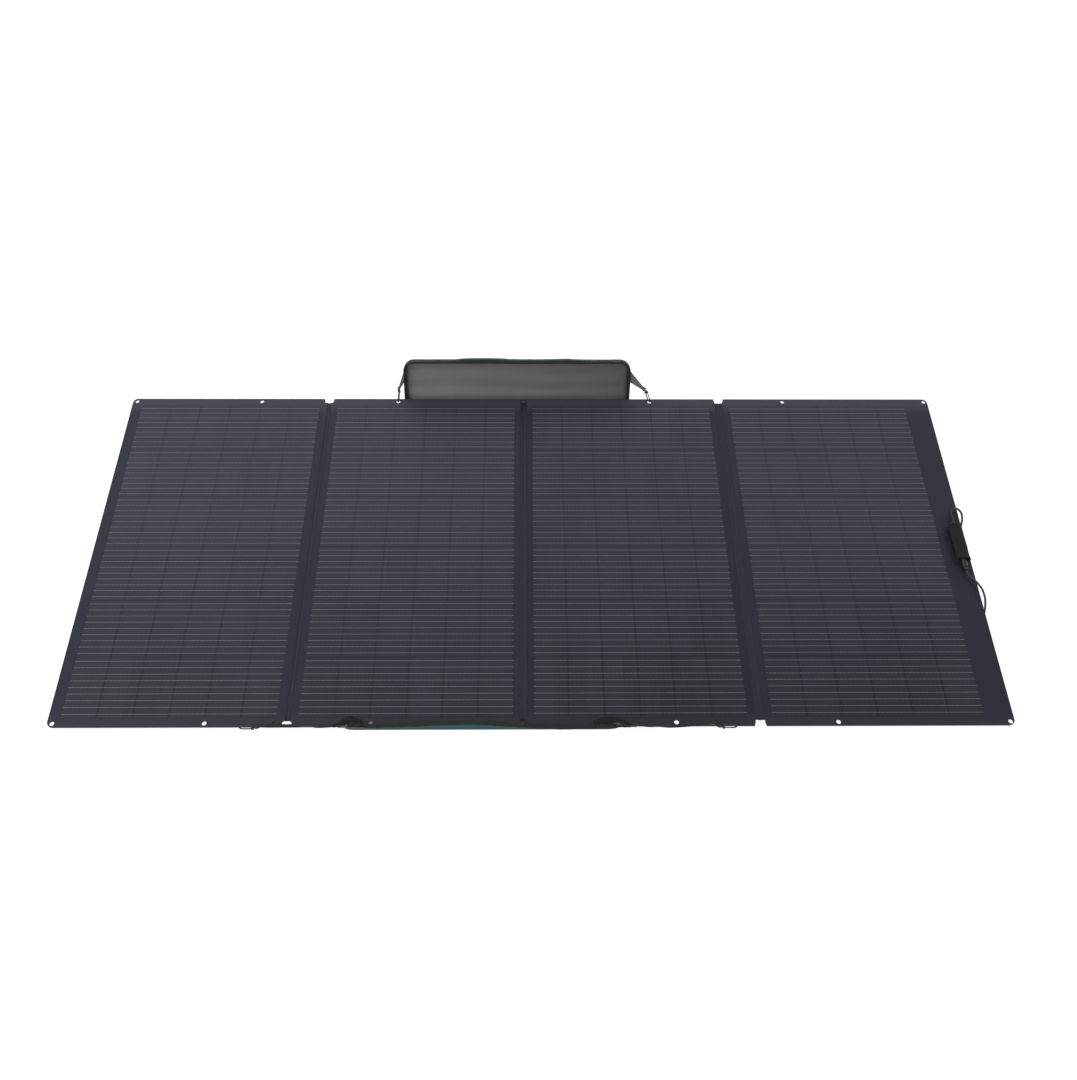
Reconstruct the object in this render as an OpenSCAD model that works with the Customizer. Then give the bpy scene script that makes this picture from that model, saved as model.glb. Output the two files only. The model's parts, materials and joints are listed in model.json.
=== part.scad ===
// Folding four-panel solar array that leans on its own zip-round carry case.
// Origin: middle of the underside of the case leaf that lies on the ground.
// +X runs to the right along the array, +Y away from the front, +Z up.

/* [Array] */
// Height of every panel, measured up its slope
panel_len = 1058; // [900:1:1200]
// Width of the first panel, from the left edge to its seam
panel_1_w = 581; // [560:1:600]
// Width of the second panel, between its two seams
panel_2_w = 577; // [560:1:600]
// Width of the third panel, between its two seams
panel_3_w = 581; // [560:1:600]
// Width of the fourth panel, which has a margin for the output leads
panel_4_w = 626; // [600:1:650]
// Thickness of the fibreglass laminate of a panel
board_t = 3.6; // [3:0.1:5]
// Thickness of the woven cover on the back of a panel
cover_t = 0.6; // [0.4:0.1:1]
// Angle of the array above the ground
tilt = 54.8; // [45:0.1:60]
// Radius of the array's outer corners
corner_r = 15; // [5:1:20]
// Radius of the tie-down holes
eyelet_r = 6; // [4:0.5:8]

/* [Cells] */
// Columns of cells on a panel
cell_columns = 6; // [2:1:6]
// Rows of cells on a panel
cell_rows = 6; // [2:1:6]
// Width of one cell
cell_w = 83; // [60:0.5:84]
// Height of one cell
cell_h = 166; // [120:0.5:167]
// Distance from one cell to the next across a panel
column_pitch = 88; // [85:0.5:88]
// Distance from one cell to the next up a panel
row_pitch = 168; // [168:0.5:169]
// Thickness of a cell under its clear film
cell_t = 0.3; // [0.2:0.1:0.5]
// Ribbons that cross each row of cells
ribbons_per_row = 9; // [4:1:9]

/* [Seams] */
// Width of the fabric hinge between panels 1 and 2
seam_12_w = 14; // [10:1:18]
// Width of the fabric hinge between panels 2 and 3
seam_23_w = 20; // [14:1:24]
// Width of the fabric hinge between panels 3 and 4
seam_34_w = 24; // [18:1:28]
// Depth of the notch at each end of the outer seams
notch_depth = 15; // [8:1:16]

/* [Case] */
// Outside width of the carry case
case_w = 668; // [660:1:700]
// Length of a case leaf, from its fold to its free edge
leaf_len = 1062; // [1060:1:1100]
// Lean of the raised leaf above the ground
rear_lean = 62.14; // [60:0.01:66]
// How far the soft ground leaf is pulled to the left at its front
skew = 84; // [0:1:100]
// Width of the case's spine
spine_w = 49.5; // [46:0.5:56]
// Height of the fabric side wall above the lining
gusset_h = 20; // [16:1:24]
// Height of the slumped front wall, where the array stands inside it
front_gusset_h = 4.5; // [4:0.5:8]
// Radius of the leaf's free corners
leaf_r = 29; // [20:1:40]

/* [Output leads] */
// Diameter of an output lead
lead_d = 5.6; // [5:0.1:6.5]
// Diameter of a lead connector
plug_d = 15; // [12:0.5:16]

/* [Hooks] */
// Radius of the wire of a snap hook
hook_wire_r = 1.6; // [1.2:0.1:2]
// Radius of the bend of a snap hook, to the middle of its wire
hook_bend_r = 6.1; // [5.5:0.1:7]
// Width of the webbing of a bottom strap
strap_w = 14; // [10:1:20]
// Thickness of the webbing of a bottom strap
strap_t = 1.6; // [1.2:0.1:2]

/* [Hidden] */
$fn = 48;

// Seam places along the array, from its left edge
seam_12_x = panel_1_w;
seam_23_x = seam_12_x + panel_2_w;
seam_34_x = seam_23_x + panel_3_w;
array_w = seam_34_x + panel_4_w;

// Heights through a panel, from the middle of its thickness
panel_t = board_t + cover_t;
back_z = -panel_t / 2;
board_z = back_z + cover_t;
face_z = board_z + board_t;
ribbon_t = 0.15;
ribbon_w = 1.1;
cell_bottom_gap = 24;

// Case section, through a leaf
shell_t = 0.8;
stiffener_t = 2.2;
lining_t = 0.5;
leaf_t = shell_t + stiffener_t + lining_t;
zip_t = 3;
wall_t = 2;
side_rim = leaf_t + gusset_h + zip_t;
front_rim = leaf_t + front_gusset_h + zip_t;
fold_gap = 4;

// The array's foot stands just inside the front wall
case_centre_x = 1139;
foot_inset = 12;
foot_lift = 1.6;
front_y = -leaf_len / 2;
fold_y = leaf_len / 2;
foot_y = front_y + foot_inset;
foot_z = leaf_t + foot_lift;
spine_lean = (180 - rear_lean) / 2;

// The side walls are pressed down where the array crosses them
saddle_start = 7;
saddle_end = 40;
slant = atan(skew / leaf_len);

// Tie-down holes, along the array, and their distance from the edge
eyelet_inset = 10;
corner_eyelet_x = 12;
eyelet_x = [381, 785, 1533, 1931];
centre_eyelet_r = 4;
notch_mouth = 15;
notch_floor = 7.5;

// Snap hook proportions, along the hook from the middle of its bend
hook_nose = 7.6;
hook_back = 22;
hook_body_h = 6;
hook_eye_y = 34;
hook_eye_r = 5;
hook_eye_wire_r = 1.4;
hook_eye_gap = 0.2;
gate_r = 1.3;
gate_free_y = 8;
gate_pivot_y = 21;
top_hook_left_x = 785;
top_hook_right_x = 1533;
top_hook_y = panel_len - 2;
top_hook_lean = 45;
top_hook_left_side = -9;
top_hook_right_side = 30;

// Place of the zip sliders, along the ground leaf from its fold
slider_y = 60;

// Ear tabs on the raised leaf, along the leaf from its fold
ear_low = 982;
ear_high = 1040;
ear_tip_y = 986;
ear_z = 18;
ear_t = 2;
ear_left_x = 353;
ear_right_x = 378;

// Cloth ears at the front corners of the ground leaf, in front of the array's foot
front_ear_y = front_y + saddle_start + 0.5;
front_ear_z = leaf_t + 0.2;
front_ear_left = [[-431, 0], [-355, 0], [-391, 13], [-399, 13]];
front_ear_right = [[203, 0], [293, 0], [259, 13], [251, 13]];

// Bottom straps, lying flat along the array's foot, from their ears to their hooks
strap_y = front_y + 1;
strap_left = [[-429, 1], [-453, 0], [-493, -2], [-543, 1], [-593, 0], [-621, 0]];
strap_right = [[291, 1], [317, 0], [357, -3], [407, -1], [457, 1], [491, 0]];
strap_z = 0.3;
hook_y = front_y - 2;
hook_z = 8;
hook_tilt = 50;

// Junction box on the back of panel 4
box_x = 2180;
box_y = 520;
box_w = 100;
box_h = 74;
box_depth = 16;
box_wall = 2;
gland_a_y = 540;
gland_b_y = 500;
gland_len = 14;
gland_r = 5.5;

// Joined connectors in their wrap on the front margin of panel 4
plug_x = 2342;
plug_low_y = 446;
plug_high_y = 596;
plug_z = face_z + 1.4 + plug_d / 2 + 0.3;
wrap_x = 2320;
wrap_right_x = 2364;
wrap_low_y = 478;
wrap_high_y = 592;
wrap_t = 1.2;

// Routes of the two output leads, in the array's own frame
gland_z = back_z - 7;
lead_positive_route = [
    [2244, 540, gland_z], [2262, 540, -8], [2285, 541, -6], [2310, 546, -5.5],
    [2334, 557, -5.5], [2352, 573, -6], [2364, 591, -6], [2371, 608, -3],
    [2374, 622, 2], [2373, 634, 7], [2367, 644, 10], [2357, 648, 11.2],
    [2347, 643, 11.3], [2342.5, 631, 11.3], [2342, 618, 11.3], [2342, 596, 11.3]];
lead_negative_route = [
    [2244, 500, gland_z], [2258, 498, -8], [2274, 487, -6], [2282, 465, -5.5],
    [2284, 430, -5.5], [2286, 390, -5.5], [2290, 350, -5.5], [2298, 318, -5.5],
    [2316, 296, -5.5], [2338, 291, -5.5], [2355, 301, -6], [2366, 320, -6],
    [2373, 343, -2], [2375, 365, 4], [2371, 386, 9], [2362, 404, 11.3],
    [2351, 419, 11.3], [2343, 433, 11.3], [2342, 446, 11.3]];

// A curve through route points, and the frames that a tube needs along it
function spline(p, i, u) =
    let (a = p[max(i - 1, 0)], b = p[i], c = p[i + 1], d = p[min(i + 2, len(p) - 1)])
    0.5 * (2 * b + (c - a) * u + (2 * a - 5 * b + 4 * c - d) * u * u
        + (3 * b - a - 3 * c + d) * u * u * u);
function unit(v) = v / norm(v);
function smooth_route(p, n) =
    [for (i = [0 : len(p) - 2]) for (k = [0 : n - 1]) spline(p, i, k / n), p[len(p) - 1]];
function along(c, i) = unit(c[min(i + 1, len(c) - 1)] - c[max(i - 1, 0)]);
function side(c, i) = unit(cross(along(c, i), cross([0.02, 0.03, 1], along(c, i))));

module sweep_tube(route, radius, steps) {
    sides = 8;
    c = smooth_route(route, steps);
    rings = len(c);
    points = [for (i = [0 : rings - 1])
        let (t = along(c, i), n = side(c, i), b = cross(t, n))
        for (k = [0 : sides - 1])
        c[i] + radius * (cos(360 * k / sides) * n + sin(360 * k / sides) * b)];
    walls = [for (i = [0 : rings - 2]) for (k = [0 : sides - 1])
        let (a = i * sides + k, b = i * sides + (k + 1) % sides)
        [a, b, b + sides, a + sides]];
    start = [[for (k = [sides - 1 : -1 : 0]) k]];
    end = [[for (k = [0 : sides - 1]) (rings - 1) * sides + k]];
    polyhedron(points = points, faces = concat(start, walls, end), convexity = 4);
}

// ---------- placing ----------

module on_array() {
    translate([-case_centre_x, foot_y, foot_z]) rotate([tilt, 0, 0]) children();
}

module on_ground_leaf() {
    translate([0, fold_y, 0]) mirror([0, 1, 0]) children();
}

module on_spine() {
    translate([0, fold_y, leaf_t / 2]) rotate([spine_lean, 0, 0])
        translate([0, 0, -leaf_t / 2]) children();
}

module on_rear_leaf() {
    translate([0, fold_y, leaf_t / 2]) rotate([spine_lean, 0, 0])
        translate([0, spine_w, 0]) rotate([spine_lean, 0, 0])
        translate([0, 0, -leaf_t / 2]) children();
}

// ---------- solar panels ----------

function panel_start(k) = [0, seam_12_x + seam_12_w / 2, seam_23_x + seam_23_w / 2,
    seam_34_x + seam_34_w / 2][k];
function panel_end(k) = [seam_12_x - seam_12_w / 2, seam_23_x - seam_23_w / 2,
    seam_34_x - seam_34_w / 2, array_w][k];
function cells_start(k) = [31, 608, 1185, 1770][k];

module panel_corners(k) {
    left = panel_start(k);
    right = panel_end(k);
    difference() {
        translate([left, 0]) square([right - left, panel_len]);
        if (k == 0) corner_cut(left, 1);
        if (k == 3) corner_cut(right, -1);
    }
}

module corner_cut(x, way) {
    for (up = [0, 1])
        translate([x, up * panel_len]) scale([1, 1 - 2 * up])
            difference() {
                translate([way > 0 ? -1 : -corner_r, -1]) square([corner_r + 1, corner_r + 1]);
                translate([way * corner_r, corner_r]) circle(corner_r);
            }
}

module seam_notches() {
    for (x = [seam_12_x, seam_34_x])
        for (up = [0, 1])
            translate([x, up * panel_len]) scale([1, 1 - 2 * up])
                polygon([[-notch_mouth, -1], [notch_mouth, -1],
                    [notch_floor + 3, notch_depth], [-notch_floor - 3, notch_depth]]);
}

module eyelet_holes() {
    for (up = [0, 1])
        translate([0, up * panel_len + (1 - 2 * up) * eyelet_inset]) {
            for (x = concat([corner_eyelet_x], eyelet_x, [array_w - eyelet_inset]))
                translate([x, 0]) circle(eyelet_r);
            translate([seam_23_x, 0]) circle(centre_eyelet_r);
        }
}

module panel_sheet(k, from_z, thick) {
    on_array() translate([0, 0, from_z]) linear_extrude(thick)
        difference() {
            panel_corners(k);
            seam_notches();
            eyelet_holes();
        }
}

module laminate(k) {
    color([0.20, 0.21, 0.24]) panel_sheet(k, board_z, board_t);
}

module back_cover(k) {
    color([0.12, 0.12, 0.13]) panel_sheet(k, back_z, cover_t);
}

module cells(k) {
    color([0.27, 0.28, 0.31])
        on_array()
            for (column = [0 : cell_columns - 1])
                for (row = [0 : cell_rows - 1])
                    translate([cells_start(k) + column * column_pitch,
                        cell_bottom_gap + row * row_pitch, face_z])
                        cube([cell_w, cell_h, cell_t]);
}

module ribbons(k) {
    line_pitch = cell_h / (ribbons_per_row + 0.12);
    field_w = (cell_columns - 1) * column_pitch + cell_w;
    color([0.40, 0.40, 0.44])
        on_array()
            for (row = [0 : cell_rows - 1])
                for (line = [0 : ribbons_per_row - 1])
                    translate([cells_start(k) - 1,
                        cell_bottom_gap + row * row_pitch + (line + 0.56) * line_pitch - ribbon_w / 2,
                        face_z + cell_t])
                        cube([field_w + 2, ribbon_w, ribbon_t]);
}

module seam(x, width, notched) {
    cut = notched ? notch_depth : 0;
    color([0.22, 0.22, 0.24])
        on_array()
            translate([x - width / 2 + 0.3, cut, face_z - 1.6])
                difference() {
                    cube([width - 0.6, panel_len - 2 * cut, 1.2]);
                    if (!notched)
                        for (y = [eyelet_inset, panel_len - eyelet_inset])
                            translate([width / 2 - 0.3, y, -1]) cylinder(r = centre_eyelet_r, h = 4);
                }
}

// ---------- junction box, leads and connectors ----------

module on_panel_back(x, y) {
    on_array() translate([x, y, back_z]) mirror([0, 0, 1]) children();
}

module box_walls(w, h, depth, r) {
    linear_extrude(depth) rounded(w, h, r);
}

module rounded(w, h, r) {
    square([w - 2 * r, h], center = true);
    square([w, h - 2 * r], center = true);
    for (sx = [-1, 1])
        for (sy = [-1, 1])
            translate([sx * (w / 2 - r), sy * (h / 2 - r)]) circle(r);
}

module junction_box_base() {
    color([0.10, 0.10, 0.11])
        on_panel_back(box_x, box_y)
            difference() {
                box_walls(box_w, box_h, box_depth - 2, 6);
                translate([0, 0, box_wall])
                    box_walls(box_w - 2 * box_wall - 8, box_h - 2 * box_wall, box_depth, 4);
                for (y = [gland_a_y, gland_b_y])
                    translate([box_w / 2 - 8, y - box_y, -gland_z + back_z])
                        rotate([0, 90, 0]) cylinder(r = 3.6, h = 12);
                for (sx = [-1, 1])
                    for (sy = [-1, 1])
                        translate([sx * (box_w / 2 - 3.6), sy * (box_h / 2 - 5), 4])
                            cylinder(r = 1.3, h = box_depth);
            }
}

module junction_box_lid() {
    color([0.13, 0.13, 0.14])
        on_panel_back(box_x, box_y)
            difference() {
                union() {
                    translate([0, 0, box_depth - 2]) box_walls(box_w, box_h, 2, 6);
                    for (k = [-3 : 3])
                        translate([k * 9 - 1.25, -box_h / 2 + 12, box_depth]) cube([2.5, box_h - 24, 0.8]);
                }
                for (sx = [-1, 1])
                    for (sy = [-1, 1])
                        translate([sx * (box_w / 2 - 3.6), sy * (box_h / 2 - 5), 4])
                            cylinder(r = 1.6, h = box_depth);
            }
}

module junction_box_screws() {
    color([0.6, 0.6, 0.62])
        on_panel_back(box_x, box_y)
            for (sx = [-1, 1])
                for (sy = [-1, 1])
                    translate([sx * (box_w / 2 - 3.6), sy * (box_h / 2 - 5), 0])
                        difference() {
                            union() {
                                translate([0, 0, 5]) cylinder(r = 1.25, h = box_depth - 5);
                                translate([0, 0, box_depth]) cylinder(r = 2.6, h = 1.2);
                            }
                            translate([0, 0, box_depth + 0.4])
                                for (turn = [0, 90])
                                    rotate([0, 0, turn]) translate([-1.6, -0.3, 0]) cube([3.2, 0.6, 2]);
                        }
}

module bypass_diodes() {
    color([0.08, 0.08, 0.08])
        on_panel_back(box_x, box_y)
            for (k = [-1 : 1])
                translate([k * 20 - 10, 0, box_wall]) {
                    translate([-5, -8, 0]) cube([10, 16, 4]);
                    for (y = [-16, 8])
                        translate([-1, y, 1.4]) cube([2, 8, 0.8]);
                }
}

module cable_glands() {
    color([0.11, 0.11, 0.12])
        on_array()
            for (y = [gland_a_y, gland_b_y])
                translate([box_x + box_w / 2, y, gland_z]) rotate([0, 90, 0])
                    difference() {
                        union() {
                            cylinder(r = gland_r, h = 5, $fn = 6);
                            translate([0, 0, 5]) cylinder(r = 4.8, h = 4);
                            translate([0, 0, 9]) cylinder(r = 4.2, h = gland_len - 9);
                            translate([0, 0, -7]) cylinder(r = 3.5, h = 7);
                        }
                        translate([0, 0, -8]) cylinder(r = 1.4, h = 9);
                    }
}

module lead_clips() {
    color([0.13, 0.13, 0.14])
        for (place = [[2310, 546, 18], [2286, 390, 90]])
            on_array() translate([place[0], place[1], back_z]) rotate([0, 0, place[2]])
                difference() {
                    translate([-4, -9, -7.2]) cube([8, 18, 7.2]);
                    translate([-5, 0, -3.4]) rotate([0, 90, 0]) cylinder(r = lead_d / 2 + 0.5, h = 10);
                    translate([-5, -10, -8]) cube([10, 4, 6.4]);
                    translate([-5, 6, -8]) cube([10, 4, 6.4]);
                }
}

module output_lead(route) {
    on_array() sweep_tube(route, lead_d / 2, 4);
}

module lead_positive() {
    color([0.09, 0.09, 0.1]) output_lead(lead_positive_route);
}

module lead_negative() {
    color([0.09, 0.09, 0.1]) output_lead(lead_negative_route);
}

module plug_positive() {
    color([0.1, 0.1, 0.11])
        on_array() translate([plug_x, plug_high_y, plug_z]) rotate([90, 0, 0])
            difference() {
                union() {
                    cylinder(r = 5, h = 8);
                    translate([0, 0, 8]) cylinder(r = plug_d / 2, h = 16, $fn = 12);
                    translate([0, 0, 24]) cylinder(r = 6.4, h = 24);
                    translate([0, 0, 48]) cylinder(r = plug_d / 2, h = 8);
                    translate([0, 0, 56]) cylinder(r = 4.2, h = 22);
                }
                translate([0, 0, 52]) cylinder(r = 2.1, h = 40);
            }
}

module plug_negative() {
    total = plug_high_y - plug_low_y;
    color([0.1, 0.1, 0.11])
        on_array() translate([plug_x, plug_low_y, plug_z]) rotate([-90, 0, 0])
            difference() {
                union() {
                    cylinder(r = 5, h = 8);
                    translate([0, 0, 8]) cylinder(r = plug_d / 2, h = 16, $fn = 12);
                    translate([0, 0, 24]) cylinder(r = 6.4, h = total - 56 - 24);
                    for (s = [-1, 1])
                        translate([s * 7.2 - 0.9, -2, 30]) cube([1.8, 4, total - 56 - 32]);
                }
                translate([0, 0, total - 56 - 24]) cylinder(r = 4.3, h = 40);
            }
}

module contact_pin() {
    color([0.8, 0.7, 0.4])
        on_array() translate([plug_x, plug_high_y - 76, plug_z]) rotate([90, 0, 0])
            translate([0, 0, -24]) cylinder(r = 2, h = 24);
}

module cable_wrap_base() {
    color([0.2, 0.2, 0.21])
        on_array() translate([wrap_x, wrap_low_y, face_z + 0.1])
            cube([wrap_right_x - wrap_x - 2, wrap_high_y - wrap_low_y, wrap_t]);
}

module cable_wrap_flap() {
    top_z = plug_z + plug_d / 2 + 0.4;
    depth = wrap_high_y - wrap_low_y;
    color([0.2, 0.2, 0.21])
        on_array() translate([0, wrap_low_y, 0]) {
            translate([wrap_right_x - wrap_t, 0, face_z + 0.4])
                cube([wrap_t, depth, top_z + wrap_t - face_z - 0.4]);
            translate([wrap_x + 2, 0, top_z])
                cube([wrap_right_x - wrap_x - 2, depth, wrap_t]);
        }
}

// ---------- carry case ----------

// Outline of a leaf from its fold, with rounded free corners; pull is its sideways lean
module leaf_outline(inset, pull, start) {
    half = case_w / 2 - inset;
    r = leaf_r - inset;
    top = leaf_len - inset;
    k = pull / leaf_len;
    long = sqrt(1 + k * k);
    centre = -k * (top - r);
    reach = half - r * long;
    tangent = [r / long, r * k / long];
    polygon([[-half - k * start, start], [half - k * start, start],
        [centre + reach, top - r] + tangent, [centre + reach, top],
        [centre - reach, top], [centre - reach, top - r] - tangent]);
    for (s = [-1, 1])
        translate([centre + s * reach, top - r]) circle(r, $fn = 64);
}

module leaf_wall(pull, thick, low, high) {
    translate([0, 0, low]) linear_extrude(high - low)
        difference() {
            leaf_outline(0, pull, fold_gap);
            leaf_outline(thick, pull, 0);
        }
}

module leaf_layer(pull, inset, low, thick) {
    translate([0, 0, low]) linear_extrude(thick) leaf_outline(inset, pull, fold_gap);
}

module leaf_shell(pull) {
    leaf_layer(pull, 0, 0, shell_t);
}

module leaf_board(pull) {
    leaf_layer(pull, wall_t + 0.2, shell_t, stiffener_t);
}

module leaf_lining(pull) {
    leaf_layer(pull, wall_t + 0.2, shell_t + stiffener_t, lining_t);
}

// The front region of the ground leaf, where its wall slumps
module front_band(from_leaf_end, to_leaf_end, low) {
    translate([-case_w, leaf_len - to_leaf_end, low])
        cube([2 * case_w, to_leaf_end - from_leaf_end, 100]);
}

module base_shell() {
    color([0.16, 0.33, 0.34]) on_ground_leaf() leaf_shell(skew);
}

module base_board() {
    color([0.25, 0.25, 0.25]) on_ground_leaf() leaf_board(skew);
}

module base_lining() {
    color([0.40, 0.39, 0.39]) on_ground_leaf() leaf_lining(skew);
}

module base_gusset() {
    color([0.17, 0.30, 0.31])
        on_ground_leaf()
            difference() {
                leaf_wall(skew, wall_t, shell_t, leaf_t + gusset_h);
                front_band(-10, saddle_end, leaf_t + front_gusset_h);
                front_band(saddle_start, saddle_end, leaf_t - 0.2);
            }
}

module base_zip() {
    color([0.10, 0.09, 0.09])
        on_ground_leaf() {
            difference() {
                leaf_wall(skew, wall_t + 1, leaf_t + gusset_h, side_rim);
                front_band(-10, saddle_end, 0);
            }
            intersection() {
                leaf_wall(skew, wall_t + 1, leaf_t + front_gusset_h, front_rim);
                front_band(-10, saddle_start, 0);
            }
        }
}

module rear_shell() {
    color([0.16, 0.33, 0.34]) on_rear_leaf() leaf_shell(0);
}

module rear_board() {
    color([0.25, 0.25, 0.25]) on_rear_leaf() leaf_board(0);
}

module rear_lining() {
    color([0.40, 0.39, 0.39]) on_rear_leaf() leaf_lining(0);
}

module rear_gusset() {
    color([0.17, 0.30, 0.31]) on_rear_leaf() leaf_wall(0, wall_t, shell_t, leaf_t + gusset_h);
}

module rear_zip() {
    color([0.10, 0.09, 0.09]) on_rear_leaf() leaf_wall(0, wall_t + 1, leaf_t + gusset_h, side_rim);
}

module spine() {
    color([0.16, 0.33, 0.34])
        on_spine() translate([-case_w / 2, fold_gap, 0]) cube([case_w, spine_w - 2 * fold_gap, leaf_t]);
}

module zip_slider(s) {
    color([0.15, 0.15, 0.15])
        on_ground_leaf()
            translate([s * (case_w / 2 - (wall_t + 1) / 2) - slider_y * tan(slant), slider_y, side_rim + 0.3])
                rotate([0, 0, slant]) {
                    difference() {
                        translate([-4.5, -7, -2.6]) cube([9, 14, 5]);
                        translate([-1.8, -8, -3]) cube([3.6, 16, 3]);
                    }
                    translate([-2, -4, 2.4]) cube([4, 8, 1.6]);
                    translate([-2.5, -30, 4]) cube([5, 30, 1.2]);
                }
}

module zip_slider_left() {
    zip_slider(-1);
}

module zip_slider_right() {
    zip_slider(1);
}

// A webbing loop with a padded grip, lying in its own XY plane
module carry_handle() {
    span = 150;
    reach = 34;
    for (s = [-1, 1])
        translate([0, s * (span / 2 - 10) - 10, 0]) cube([reach - 8, 20, 2]);
    translate([reach - 8, -span / 2 + 10, 1]) rotate([-90, 0, 0])
        cylinder(r = 6, h = span - 20, $fn = 24);
}

module base_handle() {
    color([0.12, 0.12, 0.12])
        translate([case_w / 2 - skew / 2 + 1.4, 0, 5.4]) rotate([0, 0, -slant]) carry_handle();
}

module rear_handle() {
    color([0.12, 0.12, 0.12])
        on_rear_leaf() translate([case_w / 2 + 8, leaf_len / 2, 4]) rotate([0, -90, 0]) carry_handle();
}

module ear_tabs() {
    color([0.30, 0.29, 0.30])
        on_rear_leaf()
            for (tip = [-ear_left_x, ear_right_x]) {
                edge = sign(tip) * (case_w / 2 + 0.05);
                translate([0, 0, ear_z]) linear_extrude(ear_t)
                    polygon([[edge, ear_low], [edge, ear_high], [tip, ear_tip_y + 10], [tip, ear_tip_y]]);
            }
}

module front_ears() {
    color([0.30, 0.29, 0.30])
        for (outline = [front_ear_left, front_ear_right])
            translate([0, front_ear_y + ear_t, front_ear_z]) rotate([90, 0, 0])
                linear_extrude(ear_t) polygon(outline);
}

// ---------- snap hooks ----------

// The hook lies in its YZ plane, with its bend at the origin and its eye towards +Y
module snap_hook() {
    rotate([0, 90, 0]) rotate([0, 0, 180]) rotate_extrude(angle = 180)
        translate([hook_bend_r, 0]) circle(hook_wire_r, $fn = 24);
    translate([0, 0, -hook_bend_r]) rotate([-90, 0, 0])
        cylinder(r = hook_wire_r, h = hook_back + 1, $fn = 24);
    translate([0, 0, hook_bend_r]) rotate([-90, 0, 0])
        cylinder(r = hook_wire_r, h = hook_nose, $fn = 24);
    translate([-hook_wire_r - 1, hook_back, -hook_bend_r - hook_wire_r])
        cube([2 * hook_wire_r + 2, hook_body_h, 2 * (hook_bend_r + hook_wire_r)]);
    translate([0, hook_eye_y, 0]) rotate([0, 90, 0]) rotate_extrude()
        translate([hook_eye_r, 0]) circle(hook_eye_wire_r, $fn = 24);
}

module snap_gate() {
    translate([0, gate_free_y, hook_bend_r]) rotate([-90, 0, 0])
        cylinder(r = gate_r, h = gate_pivot_y - gate_free_y, $fn = 24);
}

// Each top hook leans back from the array's edge, and sideways towards its ear
module on_top_hook(x, side) {
    on_array() translate([x, top_hook_y, 0]) rotate([top_hook_lean, 0, side]) children();
}

module top_hook_left() {
    color([0.18, 0.18, 0.19]) on_top_hook(top_hook_left_x, top_hook_left_side) snap_hook();
}

module top_hook_right() {
    color([0.18, 0.18, 0.19]) on_top_hook(top_hook_right_x, top_hook_right_side) snap_hook();
}

module top_gate_left() {
    color([0.5, 0.5, 0.52]) on_top_hook(top_hook_left_x, top_hook_left_side) snap_gate();
}

module top_gate_right() {
    color([0.5, 0.5, 0.52]) on_top_hook(top_hook_right_x, top_hook_right_side) snap_gate();
}

// A flat webbing strap that follows points on the ground
module strap_band(points) {
    c = smooth_route([for (p = points) [p[0], p[1], 0]], 4);
    edge = strap_w / 2;
    outline = concat(
        [for (p = c) [p[0], p[1] - edge]],
        [for (i = [len(c) - 1 : -1 : 0]) [c[i][0], c[i][1] + edge]]);
    translate([0, strap_y, strap_z]) linear_extrude(strap_t) polygon(outline);
}

module bottom_strap_left() {
    color([0.12, 0.12, 0.12]) strap_band(strap_left);
}

module bottom_strap_right() {
    color([0.12, 0.12, 0.12]) strap_band(strap_right);
}

// Bottom hooks lie on the ground past the end of their straps, leaning forwards
module on_bottom_hook(s, strap_end) {
    hook_reach = hook_eye_y + hook_eye_r + hook_eye_wire_r + hook_eye_gap;
    translate([strap_end + s * hook_reach, hook_y, hook_z])
        rotate([-hook_tilt, 0, 0]) rotate([0, 0, s * 90]) rotate([0, 90, 0]) children();
}

module bottom_hook_left() {
    color([0.18, 0.18, 0.19]) on_bottom_hook(-1, strap_left[len(strap_left) - 1][0]) snap_hook();
}

module bottom_hook_right() {
    color([0.18, 0.18, 0.19]) on_bottom_hook(1, strap_right[len(strap_right) - 1][0]) snap_hook();
}

module bottom_gate_left() {
    color([0.5, 0.5, 0.52]) on_bottom_hook(-1, strap_left[len(strap_left) - 1][0]) snap_gate();
}

module bottom_gate_right() {
    color([0.5, 0.5, 0.52]) on_bottom_hook(1, strap_right[len(strap_right) - 1][0]) snap_gate();
}

for (k = [0 : 3]) {
    laminate(k);
    cells(k);
    ribbons(k);
    back_cover(k);
}
seam(seam_12_x, seam_12_w, true);  // seam_12
seam(seam_23_x, seam_23_w, false);  // seam_23
seam(seam_34_x, seam_34_w, true);  // seam_34
junction_box_base();
junction_box_lid();
junction_box_screws();
bypass_diodes();
cable_glands();
lead_clips();
lead_positive();
lead_negative();
plug_positive();
plug_negative();
contact_pin();
cable_wrap_base();
cable_wrap_flap();
base_shell();
base_board();
base_lining();
base_gusset();
base_zip();
base_handle();
rear_shell();
rear_board();
rear_lining();
rear_gusset();
rear_zip();
rear_handle();
spine();
zip_slider_left();
zip_slider_right();
ear_tabs();
front_ears();
top_hook_left();
top_hook_right();
top_gate_left();
top_gate_right();
bottom_strap_left();
bottom_strap_right();
bottom_hook_left();
bottom_hook_right();
bottom_gate_left();
bottom_gate_right();
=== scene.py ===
"""Looks of the folding solar array that leans on its opened carry case."""

import json
import math

import bpy
import numpy as np
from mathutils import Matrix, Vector, noise


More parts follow.
